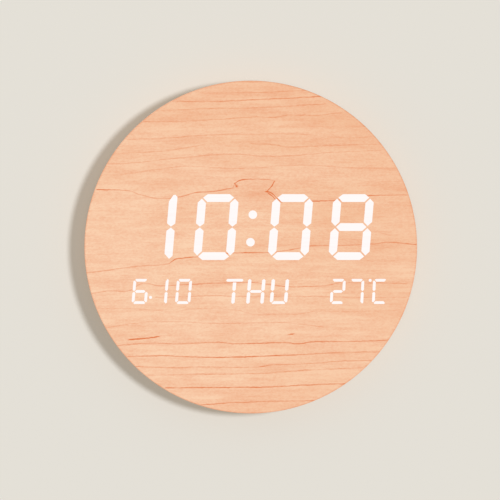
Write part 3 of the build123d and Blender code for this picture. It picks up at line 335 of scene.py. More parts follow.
class Finish:
    """A new material, with short ways to add and join its nodes."""

    def __init__(self, name):
        self.material = bpy.data.materials.new(name)
        self.material.use_nodes = True
        self.tree = self.material.node_tree
        self.shader = self.tree.nodes["Principled BSDF"]
        self.place = self.add("ShaderNodeTexCoord").outputs["Object"]

    def add(self, kind, inputs=None, **settings):
        """A node of that kind, with its settings and its inputs by name or number."""
        node = self.tree.nodes.new(kind)
        for setting, value in settings.items():
            setattr(node, setting, value)
        for socket, value in (inputs or {}).items():
            self.feed(node.inputs[socket], value)
        return node

    def feed(self, socket, value):
        """Join an output to a socket, or set the socket to a value."""
        if isinstance(value, bpy.types.NodeSocket):
            self.tree.links.new(value, socket)
        else:
            socket.default_value = value

    def finish(self, **inputs):
        """Set or join sockets of the shader, named with underscores."""
        for socket, value in inputs.items():
            self.feed(self.shader.inputs[socket.replace("_", " ").title().replace("Ior", "IOR")], value)
        return self.material

    def math(self, operation, *values):
        """Result of a sum on numbers."""
        return self.add("ShaderNodeMath", dict(enumerate(values)), operation=operation).outputs[0]

    def total(self, first, *others):
        """Sum of several numbers."""
        for other in others:
            first = self.math("ADD", first, other)
        return first

    def swing(self, noise, amount):
        """Noise from 0 to 1, made to swing about 0 by an amount from its lowest to its highest."""
        return self.math("MULTIPLY_ADD", noise, amount, -amount / 2)

    def vector(self, operation, *values):
        """Result of a sum on vectors."""
        node = self.add("ShaderNodeVectorMath", dict(enumerate(values)), operation=operation)
        return node.outputs["Value" if operation in ("DOT_PRODUCT", "LENGTH") else "Vector"]

    def split(self, vector):
        """The three parts of a vector."""
        return self.add("ShaderNodeSeparateXYZ", {0: vector}).outputs

    def noise(self, scale, detail=2.0, roughness=0.5, vector=None):
        """Cloudy noise from 0 to 1. A scale of three numbers stretches it."""
        vector = vector or self.place
        if not isinstance(scale, (int, float)):
            vector = self.vector("MULTIPLY", vector, scale)
            scale = 1
        node = self.add("ShaderNodeTexNoise", {"Vector": vector, "Scale": scale, "Detail": detail,
                                               "Roughness": roughness})
        return node.outputs["Fac"]

    def ramp(self, value, low, high, start=0.0, end=1.0):
        """A value moved from one range to another, and held there."""
        node = self.add("ShaderNodeMapRange", {"Value": value, "From Min": low, "From Max": high,
                                               "To Min": start, "To Max": end})
        return node.outputs["Result"]

    def mix(self, share, first, second):
        """Colour between two colours."""
        first, second = (colour if isinstance(colour, bpy.types.NodeSocket) else (*colour, 1)
                         for colour in (first, second))
        node = self.add("ShaderNodeMix", {MIX_SHARE: share, MIX_FIRST: first, MIX_SECOND: second},
                        data_type="RGBA")
        return node.outputs[MIX_RESULT]

    def bump(self, height, depth, strength):
        """Normal of a surface with small hills of a depth in metres."""
        node = self.add("ShaderNodeBump", {"Height": height, "Strength": strength, "Distance": depth})
        return node.outputs["Normal"]


def shades(colour, share):
    """A darker and a lighter colour about a colour."""
    darker = [channel * (1 - share) for channel in colour]
    lighter = [min(channel * (1 + share), 1) for channel in colour]
    return darker, lighter


def spots(wood, across, up, table):
    """Sum of soft ovals of the face, each with its full share at its middle and nothing outside it."""
    shares = []
    for place, reach, share in table:
        offsets = [wood.math("DIVIDE", wood.math("SUBTRACT", value, middle * MM), half * MM)
                   for value, middle, half in zip((across, up), place, reach)]
        squares = [wood.math("MULTIPLY", offset, offset) for offset in offsets]
        shares.append(wood.ramp(wood.math("ADD", *squares), 0, 1, share, 0))
    return wood.total(*shares)


def three_curves(wood, share, curves):
    """Heights of up to three curves at a share of the radius, each curve given by its points."""
    node = wood.add("ShaderNodeVectorCurve", {"Vector": share})
    node.mapping.extend = "HORIZONTAL"
    level = ((-1, 0), (1, 0))
    for curve, points in zip(node.mapping.curves, (*curves, level, level)):
        curve.points[0].location = points[0]
        curve.points[-1].location = points[-1]
        for point in points[1:-1]:
            curve.points.new(*point)
        for point in curve.points:
            point.handle_type = "AUTO_CLAMPED"
    node.mapping.update()
    return node.outputs["Vector"]


def line_curves(shares, places):
    """Curves of a grain line's height and strength, in shares of the radius."""
    heights = [(x * MM / RADIUS, z * MM / RADIUS) for x, z in places]
    start = heights[0][0]
    end = heights[-1][0]
    fade = min(LINE_FADE / RADIUS, (end - start) / 4)
    step = (end - start - 2 * fade) / (len(shares) - 1)
    drawn = [(start + fade + step * index, share) for index, share in enumerate(shares)]
    return heights, [(-1, 0), (start - fade, 0), *drawn, (end + fade, 0), (1, 0)]


def grain_lines(wood, across, up, width):
    """Darkness of the face's grain lines, drawn three at a time."""
    marked = []
    for first in range(0, len(GRAIN_LINES), 3):
        heights, strengths = zip(*[line_curves(*line) for line in GRAIN_LINES[first:first + 3]])
        offset = wood.vector("ABSOLUTE", wood.vector("SUBTRACT", up, three_curves(wood, across, heights)))
        nearness = wood.vector("MULTIPLY_ADD", offset, (-RADIUS / width,) * 3, (1, 1, 1))
        nearness = wood.vector("MAXIMUM", nearness, (0, 0, 0))
        nearness = wood.vector("MULTIPLY", nearness, nearness)
        marked.append(wood.vector("DOT_PRODUCT", nearness, three_curves(wood, across, strengths)))
    return wood.total(*marked)


def grain_noise(wood, kind, rolled=None):
    """Noise drawn out along the grain, which lies level on the face and along the rolled-out rim."""
    along, across, octaves, roughness = kind
    stretch = (along, along, across) if rolled is None else (along, across, 1)
    return wood.noise(stretch, octaves, roughness, rolled)


def veneer_shade(wood, settings, streaks, rolled=None):
    """Share of grain colour in plain veneer: its streaks, its speckle and its shade."""
    swings = [wood.swing(streak, settings.streak_strength) for streak in streaks]
    speckle = wood.swing(grain_noise(wood, SPECKLE, rolled), settings.speckle_strength)
    return wood.total(*swings, speckle, settings.shade)


def veneer_colour(wood, settings, warmth, darkness):
    """Wood between pale and warm, darkened towards the grain colour."""
    ground = wood.mix(warmth, settings.pale_wood, settings.warm_wood)
    return wood.mix(wood.ramp(darkness, 0, 1), ground, settings.grain_colour)


def face_wood(settings):
    """Pale pink-peach veneer with drawn-out grain lines, a knot and fine streaks."""
    wood = Finish("Face veneer")
    x, _, z = wood.split(wood.place)
    across = wood.math("DIVIDE", x, RADIUS)
    up = wood.math("DIVIDE", z, RADIUS)

    wander = wood.swing(grain_noise(wood, LINE_WANDER), 1.1 * MM / RADIUS)
    tremble = wood.swing(grain_noise(wood, LINE_TREMBLE), 0.8 * MM / RADIUS)
    lines = grain_lines(wood, across, wood.total(up, wander, tremble), settings.line_width)
    patches = wood.ramp(grain_noise(wood, LINE_PATCHES), *MOST, 0.5, 1.25)
    lines = wood.math("MULTIPLY", wood.math("MULTIPLY", lines, patches), settings.line_strength)

    fine, broad, clouds = [grain_noise(wood, kind) for kind in (FINE_STREAKS, BROAD_STREAKS, CLOUDS)]
    shade = veneer_shade(wood, settings, (fine, broad, clouds))
    reach = wood.vector("LENGTH", wood.vector("MULTIPLY", wood.place, (1, 0, 1)))
    # Darker towards the outer edge of the face, over a ring from EDGE_START to EDGE_END inside it
    edge = wood.ramp(reach, RADIUS - EDGE_START, RADIUS - EDGE_END, 0, settings.rim_shade)
    darkness = wood.total(lines, shade, spots(wood, x, z, MARKS), edge)

    rightwards = wood.math("MULTIPLY_ADD", across, WARM_RIGHT, WARM_MIDDLE)
    upwards = wood.math("MULTIPLY", up, WARM_UP)
    ends = wood.math("MULTIPLY", wood.math("MULTIPLY", up, up), WARM_ENDS)
    drift = wood.swing(grain_noise(wood, FACE_DRIFT), settings.drift_strength)
    warmth = wood.ramp(wood.total(rightwards, upwards, ends, drift, spots(wood, x, z, BANDS)), 0, 1)
    relief = wood.math("MULTIPLY_ADD", lines, -0.4, fine)
    return wood.finish(base_color=veneer_colour(wood, settings, warmth, darkness),
                       roughness=wood.ramp(fine, *MOST, 0.5, 0.6),
                       normal=wood.bump(relief, GRAIN_DEPTH, 0.5), specular_ior_level=0.35)


def rim_wood(settings):
    """The same veneer as a band, with its grain along the rim and a butt joint at the foot."""
    wood = Finish("Rim veneer")
    x, y, z = wood.split(wood.place)
    angle = wood.math("ARCTAN2", x, z)
    arc = wood.math("MULTIPLY", angle, RADIUS)
    rolled = wood.add("ShaderNodeCombineXYZ", {0: arc, 1: y}).outputs[0]

    wander = wood.swing(grain_noise(wood, RIM_WANDER, rolled), 1.6 * MM)
    wavy = wood.vector("ADD", rolled, wood.add("ShaderNodeCombineXYZ", {1: wander}).outputs[0])
    contours = wood.math("ABSOLUTE", wood.swing(grain_noise(wood, RIM_LINES, wavy), 2.0))
    patches = wood.ramp(grain_noise(wood, RIM_PATCHES, rolled), 0.4, 0.6)
    lines = wood.math("MULTIPLY", wood.ramp(contours, 0, 0.06, 0.35, 0), patches)
    off_foot = wood.math("ABSOLUTE", wood.math("SUBTRACT", wood.math("ABSOLUTE", angle), pi))
    joint = wood.ramp(off_foot, 0, JOINT_WIDTH / RADIUS, 0.6, 0)

    fine, broad = [grain_noise(wood, kind, rolled) for kind in (FINE_STREAKS, BROAD_STREAKS)]
    darkness = wood.total(veneer_shade(wood, settings, (fine, broad), rolled), lines, joint)
    warmth = wood.ramp(grain_noise(wood, RIM_DRIFT, rolled), *MOST)
    relief = wood.math("MULTIPLY_ADD", joint, -3.0, fine)
    return wood.finish(base_color=veneer_colour(wood, settings, warmth, darkness),
                       roughness=wood.ramp(fine, *MOST, 0.62, 0.75),
                       normal=wood.bump(relief, GRAIN_DEPTH, 0.6), specular_ior_level=0.2)


def fibre_board():
    """Raw wood-fibre board: matted short fibres of two browns with darker specks."""
    board = Finish("Raw fibre board")
    fibres = board.noise((900, 300, 900), 4, 0.7)
    clumps = board.noise(160, 3)
    specks = board.ramp(board.noise(1400, 1), 0.66, 0.74)
    colour = board.mix(board.ramp(fibres, *MOST), linear(150, 112, 74), linear(198, 161, 118))
    colour = board.mix(board.ramp(clumps, *CORE, 0, 0.35), colour, linear(172, 132, 90))
    colour = board.mix(board.math("MULTIPLY", specks, 0.6), colour, linear(96, 66, 40))
    return board.finish(base_color=colour, roughness=board.ramp(fibres, *MOST, 0.78, 0.92),
                        normal=board.bump(fibres, 0.12 * MM, 0.6), specular_ior_level=0.2)


def lit_veneer(settings):
    """Veneer over a lit bar: almost white, with the wood's streaks just showing."""
    lit = Finish("Lit veneer")
    streaks = lit.ramp(lit.noise((16, 16, 700), 3, 0.6), 0.35, 0.75)
    darker, lighter = shades(settings.veneer, 0.03)
    dimmed = [0.985 * channel for channel in settings.glow]
    return lit.finish(base_color=lit.mix(streaks, lighter, darker),
                      roughness=lit.ramp(streaks, 0, 1, 0.5, 0.58),
                      emission_color=lit.mix(streaks, settings.glow, dimmed),
                      emission_strength=settings.glow_strength, specular_ior_level=0.3)


def moulded(name, colour=None):
    """Moulded plastic or rubber with a fine surface grain, in its listed colour or a given one."""
    listed, roughness, grain, depth, spread = MOULDED[name]
    if colour is None:
        colour = linear(*listed)
    plastic = Finish(name)
    texture = plastic.noise(1 / (grain * MM), 3, 0.6)
    flow = plastic.noise(1 / (FLOW_GRAINS * (grain * MM)), 3)
    share = plastic.math("MULTIPLY_ADD", texture, 0.45, plastic.math("MULTIPLY", flow, 0.55))
    rough = plastic.ramp(share, *CORE, roughness - ROUGH_SWING, roughness + ROUGH_SWING)
    return plastic.finish(base_color=plastic.mix(plastic.ramp(share, *CORE), *shades(colour, spread)),
                          roughness=rough, normal=plastic.bump(texture, depth * MM, 0.7))


def plated(name):
    """Plated metal with fine drawn lines and a cloudy passivated tint."""
    colour, roughness, stretch = PLATED[name]
    metal = Finish(name)
    drawn = metal.noise(stretch, 2, 0.6)
    clouds = metal.noise(180, 3)
    tint = [channel * share for channel, share in zip(colour, (1.02, 0.98, 0.86))]
    ground = metal.mix(metal.ramp(drawn, *MOST), *shades(colour, 0.14))
    tinted = metal.mix(metal.ramp(clouds, 0.4, 0.7, 0, 0.5), ground, tint)
    lined = metal.ramp(drawn, *MOST, roughness - ROUGH_SWING, roughness + ROUGH_SWING)
    rough = metal.math("ADD", lined, metal.ramp(clouds, 0.35, 0.7, 0, 0.08))
    return metal.finish(base_color=tinted, metallic=1.0, roughness=rough,
                        normal=metal.bump(drawn, 0.01 * MM, 0.4))


def lacquered_board():
    """Green circuit board: tracks under the lacquer, and a fine weave."""
    board = Finish("Circuit board")
    cells = board.add("ShaderNodeTexVoronoi", {"Vector": board.place, "Scale": 190.0, "Randomness": 0.6},
                      feature="DISTANCE_TO_EDGE").outputs["Distance"]
    tracks = board.ramp(cells, 0.05, 0.09, 1, 0)
    weave = board.noise(2200, 1)
    ground = board.mix(board.ramp(weave, *CORE), linear(14, 84, 50), linear(20, 96, 58))
    colour = board.mix(tracks, ground, linear(46, 132, 78))
    return board.finish(base_color=colour, roughness=board.ramp(weave, *CORE, 0.32, 0.4),
                        normal=board.bump(tracks, 0.03 * MM, 0.5))


def lead_sleeves():
    """Soft insulation of the two leads: red on the positive side, black on the other."""
    sleeve = Finish("Lead sleeves")
    x = sleeve.split(sleeve.place)[0]
    scuffs = sleeve.noise(900, 3)
    red = sleeve.mix(scuffs, linear(150, 28, 26), linear(186, 44, 38))
    black = sleeve.mix(scuffs, linear(24, 24, 26), linear(44, 44, 46))
    colour = sleeve.mix(sleeve.math("GREATER_THAN", x, 0.0), black, red)
    return sleeve.finish(base_color=colour, roughness=sleeve.ramp(scuffs, *MOST, 0.42, 0.55))


def cell_sleeve():
    """Plain sleeve of a battery cell: dark, with a pale ring near its positive end."""
    sleeve = Finish("Cell sleeve")
    along = sleeve.add("ShaderNodeAttribute", attribute_name="along").outputs["Fac"]
    scuffs = sleeve.noise((700, 2600, 2600), 3)
    dark = sleeve.mix(scuffs, linear(50, 54, 60), linear(70, 74, 80))
    pale = sleeve.mix(scuffs, linear(186, 187, 186), linear(206, 206, 203))
    ring = sleeve.math("COMPARE", along, 0.86, 0.025)
    return sleeve.finish(base_color=sleeve.mix(ring, dark, pale),
                         roughness=sleeve.ramp(scuffs, *MOST, 0.26, 0.38), coat_weight=0.3)


def dress(material, *names):
    """Put a material on CAD nodes."""
    for name in names:
        for slot in NODES[name].material_slots:
            slot.material = material


def place_object(name, data):
    """A new object in the scene."""
    thing = bpy.data.objects.new(name, data)
    bpy.context.scene.collection.objects.link(thing)
    return thing


def smooth_mesh(name, shape, crease):
    """A mesh of a closed bmesh, smooth but for the edges past a crease angle."""
    bmesh.ops.recalc_face_normals(shape, faces=shape.faces)
    mesh = bpy.data.meshes.new(name)
    shape.to_mesh(mesh)
    shape.free()
    mesh.shade_smooth()
    mesh.set_sharp_from_angle(angle=crease)
    return mesh


def make_piece(name, shape, body, slot, *materials):
    """Make a piece of a closed bmesh, and let it ride on a body."""
    mesh = smooth_mesh(name, shape, PIECE_CREASE)
    for material in materials:
        mesh.materials.append(material)
    piece = place_object(name, mesh)
    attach(piece, body)
    return piece


def angles_round(count):
    """Angles of evenly spread places on a circle."""
    return [tau * step / count for step in range(count)]


def lathe(profile, turn, segments):
    """A closed bmesh of a profile of radius and height, turned about Z and then set by a matrix."""
    shape = bmesh.new()
    rings = []
    for radius, height in profile:
        rings.append([shape.verts.new(turn @ Vector((radius * cos(angle), radius * sin(angle), height)))
                      for angle in angles_round(segments if radius > 0 else 1)])
    bands = []
    for lower, upper in zip(rings, rings[1:]):
        faces = []
        for step in range(max(len(lower), len(upper))):
            corners = [ring[index % len(ring)] for ring, index in
                       ((lower, step), (lower, step + 1), (upper, step + 1), (upper, step))]
            faces.append(shape.faces.new(list(dict.fromkeys(corners))))
        bands.append(faces)
    return shape, rings, bands


def loop_edges(shape, points):
    """Edges of a closed line through points."""
    corners = [shape.verts.new(point) for point in points]
    return [shape.edges.new((corner, corners[index - 1])) for index, corner in enumerate(corners)]


def raise_mark(name, outlines, face, height, body, slot, material):
    """A thick printed mark half sunk into a rear face, from closed outlines of places across and up."""
    shape = bmesh.new()
    edges = []
    for outline in outlines:
        edges += loop_edges(shape, [(x, face - height / 2, z) for x, z in outline])
    bmesh.ops.triangle_fill(shape, use_beauty=True, edges=edges)
    raised = bmesh.ops.extrude_face_region(shape, geom=shape.faces[:])["geom"]
    bmesh.ops.translate(shape, vec=(0, height, 0),
                        verts=[part for part in raised if isinstance(part, bmesh.types.BMVert)])
    make_piece(name, shape, body, slot, material)


def circle(x, z, radius):
    """Places on a circle."""
    return [(x + radius * cos(angle), z + radius * sin(angle)) for angle in angles_round(MARK_SIDES)]


def triangle(x, z, half, base, tip):
    """Corners of a triangle about a place, from half its width and the heights of its base and tip."""
    return [(x - half, z + base), (x + half, z + base), (x, z + tip)]


def screw_shape(settings, length):
    """A countersunk screw with a cross recess and a thread, its head at the origin and its tip at -Y."""
    head, shank, pitch = settings.head / 2, settings.shank / 2, settings.pitch
    root = THREAD_ROOT * shank
    flank = THREAD_FLANK * pitch
    sink = head - shank
    profile = [(head - HEAD_RIM, 0), (head, -HEAD_RIM), (shank, -sink - HEAD_RIM)]
    height = -sink - pitch
    while height > -length + 2 * pitch:
        profile += [(root, height + flank), (shank, height), (root, height - flank)]
        height -= pitch
    profile += [(root, -length + pitch), (0, -length)]
    shape, rings, _ = lathe(profile, Matrix.Rotation(-pi / 2, 4, "X"), SCREW_SIDES)

    arm, half = settings.recess_span / 2, settings.recess_width / 2
    quarter = [(arm, -half), (arm, half), (half, half)]
    outline = []
    for _ in range(4):
        outline += quarter
        quarter = [(-z, x) for x, z in quarter]
    mouth = loop_edges(shape, [(x, 0, z) for x, z in outline])
    brim = [shape.edges.get((corner, rings[0][index - 1])) for index, corner in enumerate(rings[0])]
    bmesh.ops.triangle_fill(shape, use_beauty=True, edges=brim + mouth)
    floor = [shape.verts.new((RECESS_FLOOR * x, -settings.recess_depth, RECESS_FLOOR * z))
             for x, z in outline]
    top = [edge.verts[0] for edge in mouth]
    for index, corner in enumerate(top):
        shape.faces.new((corner, top[index - 1], floor[index - 1], floor[index]))
    shape.faces.new(floor)
    return shape


def screw_tree():
    """A node tree that sets a screw on each point, each turned by its own amount."""
    tree = bpy.data.node_groups.new("Set Screws", "GeometryNodeTree")
    sockets = {}
    for name, kind in (("Points", "Geometry"), ("Screw", "Object"), ("Turn", "Float"), ("Seed", "Int"),
                       ("Metal", "Material")):
        socket = tree.interface.new_socket(name, in_out="INPUT", socket_type=f"NodeSocket{kind}")
        sockets[name] = socket.identifier
    tree.interface.new_socket("Screws", in_out="OUTPUT", socket_type="NodeSocketGeometry")
    entry, screw, chance, turn, setter, realize, metal, result = [tree.nodes.new(kind) for kind in (
        "NodeGroupInput", "GeometryNodeObjectInfo", "FunctionNodeRandomValue", "ShaderNodeCombineXYZ",
        "GeometryNodeInstanceOnPoints", "GeometryNodeRealizeInstances", "GeometryNodeSetMaterial",
        "NodeGroupOutput")]
    join = tree.links.new
    join(entry.outputs["Screw"], screw.inputs["Object"])
    join(entry.outputs["Turn"], chance.inputs[3])
    join(entry.outputs["Seed"], chance.inputs["Seed"])
    join(chance.outputs[1], turn.inputs["Y"])
    join(entry.outputs["Points"], setter.inputs["Points"])
    join(screw.outputs["Geometry"], setter.inputs["Instance"])
    join(turn.outputs[0], setter.inputs["Rotation"])
    join(setter.outputs[0], realize.inputs[0])
    join(realize.outputs[0], metal.inputs["Geometry"])
    join(entry.outputs["Metal"], metal.inputs["Material"])
    join(metal.outputs[0], result.inputs[0])
    return tree, sockets


def set_screws(node, tree, sockets, settings, places, seed, metal):
    """Replace a node's screws by detailed ones, whose heads lie at the node's rear face."""
    low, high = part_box(node)
    shape = screw_shape(settings, high.y - low.y)
    template = bpy.data.objects.new("screw", smooth_mesh("screw", shape, SCREW_CREASE))
    points = bpy.data.meshes.new(f"{node}_points")
    points.from_pydata([(x, high.y, z) for x, z in places], [], [])
    holder = place_object(f"{node}_points", points)
    modifier = holder.modifiers.new("Screws", "NODES")
    modifier.node_group = tree
    for name, value in (("Screw", template), ("Turn", pi / 2), ("Seed", seed), ("Metal", metal)):
        modifier[sockets[name]] = value
    evaluated = holder.evaluated_get(bpy.context.evaluated_depsgraph_get())
    screws = place_object(f"{node}_detailed", bpy.data.meshes.new_from_object(evaluated))
    bpy.data.objects.remove(holder)
    bpy.data.objects.remove(template)
    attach(screws, "clock")
    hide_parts(node)


class WALLCLOCK_OT_case(bpy.types.Operator):
    """Dress the wooden face, its rim band and the fibre-board case"""
    bl_idname = "wall_clock.case"
    bl_label = "Wooden Case"

    def execute(self, context):
        settings = context.scene.wall_clock_face
        dress(face_wood(settings), "front_veneer")
        dress(rim_wood(settings), "edge_veneer")
        dress(fibre_board(), "face_panel", "case_ring")
        return {"FINISHED"}


class WALLCLOCK_OT_display(bpy.types.Operator):
    """Dress the lit bars, and the films and light cells behind them"""
    bl_idname = "wall_clock.display"
    bl_label = "Display"

    def execute(self, context):
        blocks = ("time", "date", "weekday", "temperature")
        dress(lit_veneer(context.scene.wall_clock_display), *[f"lit_{block}" for block in blocks])
        dress(moulded("Diffuser film"), *[f"{block}_diffuser" for block in blocks])
        dress(moulded("Reflector"), *[f"{block}_reflector" for block in blocks])
        return {"FINISHED"}


class WALLCLOCK_OT_electronics(bpy.types.Operator):
    """Dress the circuit board and the parts on it"""
    bl_idname = "wall_clock.electronics"
    bl_label = "Electronics"

    def execute(self, context):
        dress(lacquered_board(), "display_board")
        dress(moulded("Lamp resin"), "segment_lights")
        dress(moulded("Natural nylon"), "board_standoffs", "battery_connector")
        dress(moulded("Chip resin"), "controller_chip", "driver_chips", "clock_chip", "voltage_regulator",
              "power_inlet_tongue")
        dress(moulded("Buzzer shell"), "alarm_buzzer")
        dress(moulded("Sensor resin"), "temperature_sensor")
        dress(moulded("Switch body"), "set_switch", "up_switch", "down_switch")
        dress(plated("Bright can"), "clock_crystal", "smoothing_capacitors", "power_inlet_shell")
        dress(plated("Board screws"), "board_screws")
        dress(lead_sleeves(), "battery_leads")
        return {"FINISHED"}


class WALLCLOCK_OT_back(bpy.types.Operator):
    """Dress the back cover, its bumpers and the hanger plate"""
    bl_idname = "wall_clock.back"
    bl_label = "Back Cover"

    def execute(self, context):
        dress(moulded("Cover plastic", context.scene.wall_clock_back.cover), "back_cover", "battery_door")
        dress(moulded("Bumper rubber"), "wall_bumpers")
        dress(plated("Hanger zinc"), "hanger_plate")
        return {"FINISHED"}


class WALLCLOCK_OT_screws(bpy.types.Operator):
    """Set detailed screws in the cover and the hanger plate"""
    bl_idname = "wall_clock.screws"
    bl_label = "Screws"

    def execute(self, context):
        settings = context.scene.wall_clock_screws
        metal = plated("Screw zinc")
        tree, sockets = screw_tree()
        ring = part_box("cover_screws")[1].z - settings.head / 2
        angles = [pi / 2 + angle for angle in angles_round(settings.cover_count)]
        set_screws("cover_screws", tree, sockets, settings,
                   [(ring * cos(angle), ring * sin(angle)) for angle in angles], COVER_SEED, metal)
        low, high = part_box("hanger_screws")
        set_screws("hanger_screws", tree, sockets, settings,
                   [(0, low.z + settings.head / 2), (0, high.z - settings.head / 2)], HANGER_SEED, metal)
        return {"FINISHED"}


class WALLCLOCK_OT_buttons(bpy.types.Operator):
    """Dress the push buttons and print a mark on each"""
    bl_idname = "wall_clock.buttons"
    bl_label = "Buttons"

    def execute(self, context):
        settings = context.scene.wall_clock_back
        plastic = moulded("Button plastic", settings.button)
        ink = moulded("Button print", settings.print_colour)
        dress(moulded("Plunger plastic"), "set_plunger", "up_plunger", "down_plunger")
        half = settings.mark_size / 2
        for name, way in (("set", 0), ("up", 1), ("down", -1)):
            dress(plastic, f"{name}_button")
            low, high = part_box(f"{name}_button")
            x, z = (low.x + high.x) / 2, (low.z + high.z) / 2
            if way:
                outlines = [triangle(x, z, half, -0.5 * way * half, way * half)]
            else:
                outlines = [circle(x, z, half), circle(x, z, MARK_RING * half)]
            raise_mark(f"{name}_mark", outlines, high.y, settings.mark_height, f"{name}_button",
                       "button_plastic", ink)
        return {"FINISHED"}


class WALLCLOCK_OT_battery(bpy.types.Operator):
    """Make the battery cells, dress their contacts and mark the door"""
    bl_idname = "wall_clock.battery"
    bl_label = "Battery Bay"

    def execute(self, context):
        settings = context.scene.wall_clock_back
        nickel = plated("Contact nickel")
        dress(nickel, "positive_contact", "negative_contact", "left_bridge_contact", "right_bridge_contact")
        sleeve = cell_sleeve()
        ring = moulded("Cell ring")
        for name, plus_side in (("upper", 1), ("middle", -1), ("lower", 1)):
            self.make_cell(f"battery_cell_{name}", plus_side, sleeve, nickel, ring)
        low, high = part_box("battery_door")
        half = settings.arrow_size / 2
        arrow = triangle(0, (low.z + high.z) / 2, half, half / 2, -half / 2)
        raise_mark("door_arrow", [arrow], REAR, settings.mark_height, "battery_door", "cover_plastic",
                   moulded("Door print", settings.print_colour))
        return {"FINISHED"}

    @staticmethod
    def make_cell(node, plus_side, *materials):
        """A cell with a crimped sleeve, a dished foot and a nub, in place of its plain solid."""
        low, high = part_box(node)
        length, radius = high.x - low.x, (high.z - low.z) / 2
        shoulder = length - CELL_NUB
        sleeve, steel, insulator = range(3)
        # From the foot to the nub: share of the radius, height, and the material from there on
        outline = [
            (0, CELL_DISH, steel), (0.66, CELL_DISH, steel), (0.70, 0, steel), (0.80, 0, steel),
            (0.84, CELL_DISH, sleeve), (0.90, 0.1 * CELL_DISH, sleeve), (0.97, 0.3 * CELL_CRIMP, sleeve),
            (1, CELL_CRIMP, sleeve), (1, shoulder - 2 * CELL_CRIMP, sleeve),
            (0.97, shoulder - 0.6 * CELL_CRIMP, sleeve), (0.90, shoulder, sleeve),
            (0.84, shoulder - 0.5 * CELL_CRIMP, insulator), (0.52, shoulder - 0.5 * CELL_CRIMP, steel),
            (0.50, shoulder, steel), (0.38, shoulder + 0.1 * CELL_NUB, steel),
            (0.36, length - 0.3 * CELL_NUB, steel), (0.30, length, steel), (0, length, steel)]
        foot = low.x if plus_side > 0 else high.x
        lie = Matrix.Translation((foot, (low.y + high.y) / 2, (low.z + high.z) / 2))
        lie = lie @ Matrix.Rotation(plus_side * pi / 2, 4, "Y")
        profile = [(share * radius, height) for share, height, _ in outline]
        shape, rings, bands = lathe(profile, lie, CELL_SIDES)
        for faces, (_, _, material) in zip(bands, outline):
            for face in faces:
                face.material_index = material
        heights = [height / length for (_, height, _), ring in zip(outline, rings) for _ in ring]
        cell = make_piece(f"{node}_detailed", shape, "clock", "cell_sleeve", *materials)
        cell.data.attributes.new("along", "FLOAT", "POINT").data.foreach_set("value", heights)
        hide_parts(node)


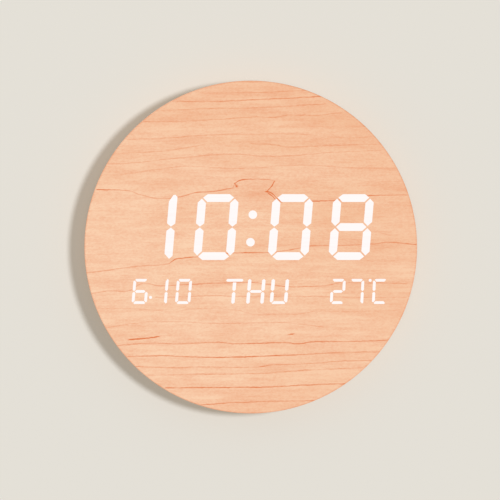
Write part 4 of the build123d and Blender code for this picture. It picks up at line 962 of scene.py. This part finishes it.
class WALLCLOCK_OT_stage(bpy.types.Operator):
    """Set the wall, the lights, the world and the camera"""
    bl_idname = "wall_clock.stage"
    bl_label = "Stage"

    def execute(self, context):
        settings = context.scene.wall_clock_stage
        context.scene.view_settings.view_transform = "Standard"
        self.set_wall(settings)
        self.set_world(settings)
        self.set_sun("Key light", KEY_DIRECTION, settings.key_level, settings.key_spread)
        self.set_sun("Rear light", REAR_DIRECTION, settings.rear_level, 2 * settings.key_spread)
        self.set_camera(settings)
        return {"FINISHED"}

    @staticmethod
    def set_wall(settings):
        """A pale wall that only the camera sees, and only from the front."""
        mesh = bpy.data.meshes.new("wall")
        signs = ((-1, -1), (1, -1), (1, 1), (-1, 1))
        corners = [(x * WALL_REACH, WALL_GAP, z * WALL_REACH) for x, z in signs]
        mesh.from_pydata(corners, [], [(0, 1, 2, 3)])
        wall = place_object("wall", mesh)
        for ray in ("diffuse", "glossy", "transmission", "shadow"):
            setattr(wall, f"visible_{ray}", False)
        paint = Finish("Wall paint")
        kept = [share * channel for share, channel in zip(settings.shade_share, settings.wall)]
        lit = [channel - shade for channel, shade in zip(settings.wall, kept)]
        diffuse = paint.add("ShaderNodeBsdfDiffuse", {"Color": (*lit, 1)})
        shade = paint.add("ShaderNodeEmission", {"Color": (*kept, 1)})
        front = paint.add("ShaderNodeAddShader", {0: diffuse.outputs[0], 1: shade.outputs[0]})
        behind = paint.add("ShaderNodeBsdfTransparent")
        side = paint.add("ShaderNodeNewGeometry").outputs["Backfacing"]
        both = paint.add("ShaderNodeMixShader", {0: side, 1: front.outputs[0], 2: behind.outputs[0]})
        paint.feed(paint.tree.nodes["Material Output"].inputs["Surface"], both.outputs[0])
        paint.tree.nodes.remove(paint.shader)
        mesh.materials.append(paint.material)

    @staticmethod
    def set_world(settings):
        """Even light from all round, which looks pale to the camera and in reflections."""
        world = bpy.data.worlds.new("Studio")
        bpy.context.scene.world = world
        world.use_nodes = True
        tree = world.node_tree
        path = tree.nodes.new("ShaderNodeLightPath")
        seen = path.outputs["Is Camera Ray"]
        for ray in ("Is Glossy Ray", "Is Transmission Ray"):
            either = tree.nodes.new("ShaderNodeMath")
            either.operation = "MAXIMUM"
            tree.links.new(seen, either.inputs[0])
            tree.links.new(path.outputs[ray], either.inputs[1])
            seen = either.outputs[0]
        colour = tree.nodes.new("ShaderNodeMix")
        colour.data_type = "RGBA"
        colour.inputs[MIX_FIRST].default_value = (*[settings.sky_level] * 3, 1)
        colour.inputs[MIX_SECOND].default_value = (*settings.wall, 1)
        tree.links.new(seen, colour.inputs[MIX_SHARE])
        tree.links.new(colour.outputs[MIX_RESULT], tree.nodes["Background"].inputs["Color"])

    @staticmethod
    def set_sun(name, towards, level, spread):
        """A soft distant light that gives a surface across the clock's axis that level of light."""
        towards = Vector(towards).normalized()
        lamp = bpy.data.lights.new(name, "SUN")
        lamp.energy = pi * level / abs(towards.y)
        lamp.angle = spread
        place_object(name, lamp).rotation_euler = towards.to_track_quat("Z", "Y").to_euler()

    @staticmethod
    def set_camera(settings):
        """A camera straight in front, which frames the disc as the photograph does."""
        lens = bpy.data.cameras.new("Camera")
        lens.lens = settings.lens
        pixel = RADIUS / DISC_RADIUS_PIXELS
        distance = PHOTO_WIDTH_PIXELS * pixel * lens.lens / lens.sensor_width
        middle = PHOTO_WIDTH_PIXELS / 2
        camera = place_object("Camera", lens)
        camera.location = ((middle - DISC_CENTRE_PIXELS[0]) * pixel, FRONT - distance,
                           (DISC_CENTRE_PIXELS[1] - middle) * pixel)
        camera.rotation_euler = (pi / 2, 0, 0)
        bpy.context.scene.camera = camera


class WALLCLOCK_PT_panel(bpy.types.Panel):
    """Shows the clock's steps and their settings"""
    bl_label = "Wall Clock"
    bl_idname = "WALLCLOCK_PT_panel"
    bl_space_type = "VIEW_3D"
    bl_region_type = "UI"
    bl_category = "Wall Clock"

    def draw(self, context):
        for operator in OPERATORS:
            self.layout.operator(operator.bl_idname)
        for name in SETTINGS:
            group = getattr(context.scene, name)
            box = self.layout.box()
            for setting in group.__annotations__:
                box.prop(group, setting)


SETTINGS = {
    "wall_clock_face": FaceSettings,
    "wall_clock_display": DisplaySettings,
    "wall_clock_back": BackSettings,
    "wall_clock_screws": ScrewSettings,
    "wall_clock_stage": StageSettings,
}
OPERATORS = (WALLCLOCK_OT_case, WALLCLOCK_OT_display, WALLCLOCK_OT_electronics, WALLCLOCK_OT_back,
             WALLCLOCK_OT_screws, WALLCLOCK_OT_buttons, WALLCLOCK_OT_battery, WALLCLOCK_OT_stage)
CLASSES = (*SETTINGS.values(), *OPERATORS, WALLCLOCK_PT_panel)


def register():
    """Add the settings, the operators and the panel."""
    for kind in CLASSES:
        bpy.utils.register_class(kind)
    for name, group in SETTINGS.items():
        setattr(bpy.types.Scene, name, PointerProperty(type=group))


def unregister():
    """Take the settings, the operators and the panel away."""
    for name in SETTINGS:
        delattr(bpy.types.Scene, name)
    for kind in reversed(CLASSES):
        bpy.utils.unregister_class(kind)


def main():
    """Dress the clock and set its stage."""
    register()
    for operator in OPERATORS:
        getattr(bpy.ops.wall_clock, operator.bl_idname.split(".")[1])()


if __name__ == "__main__":
    main()
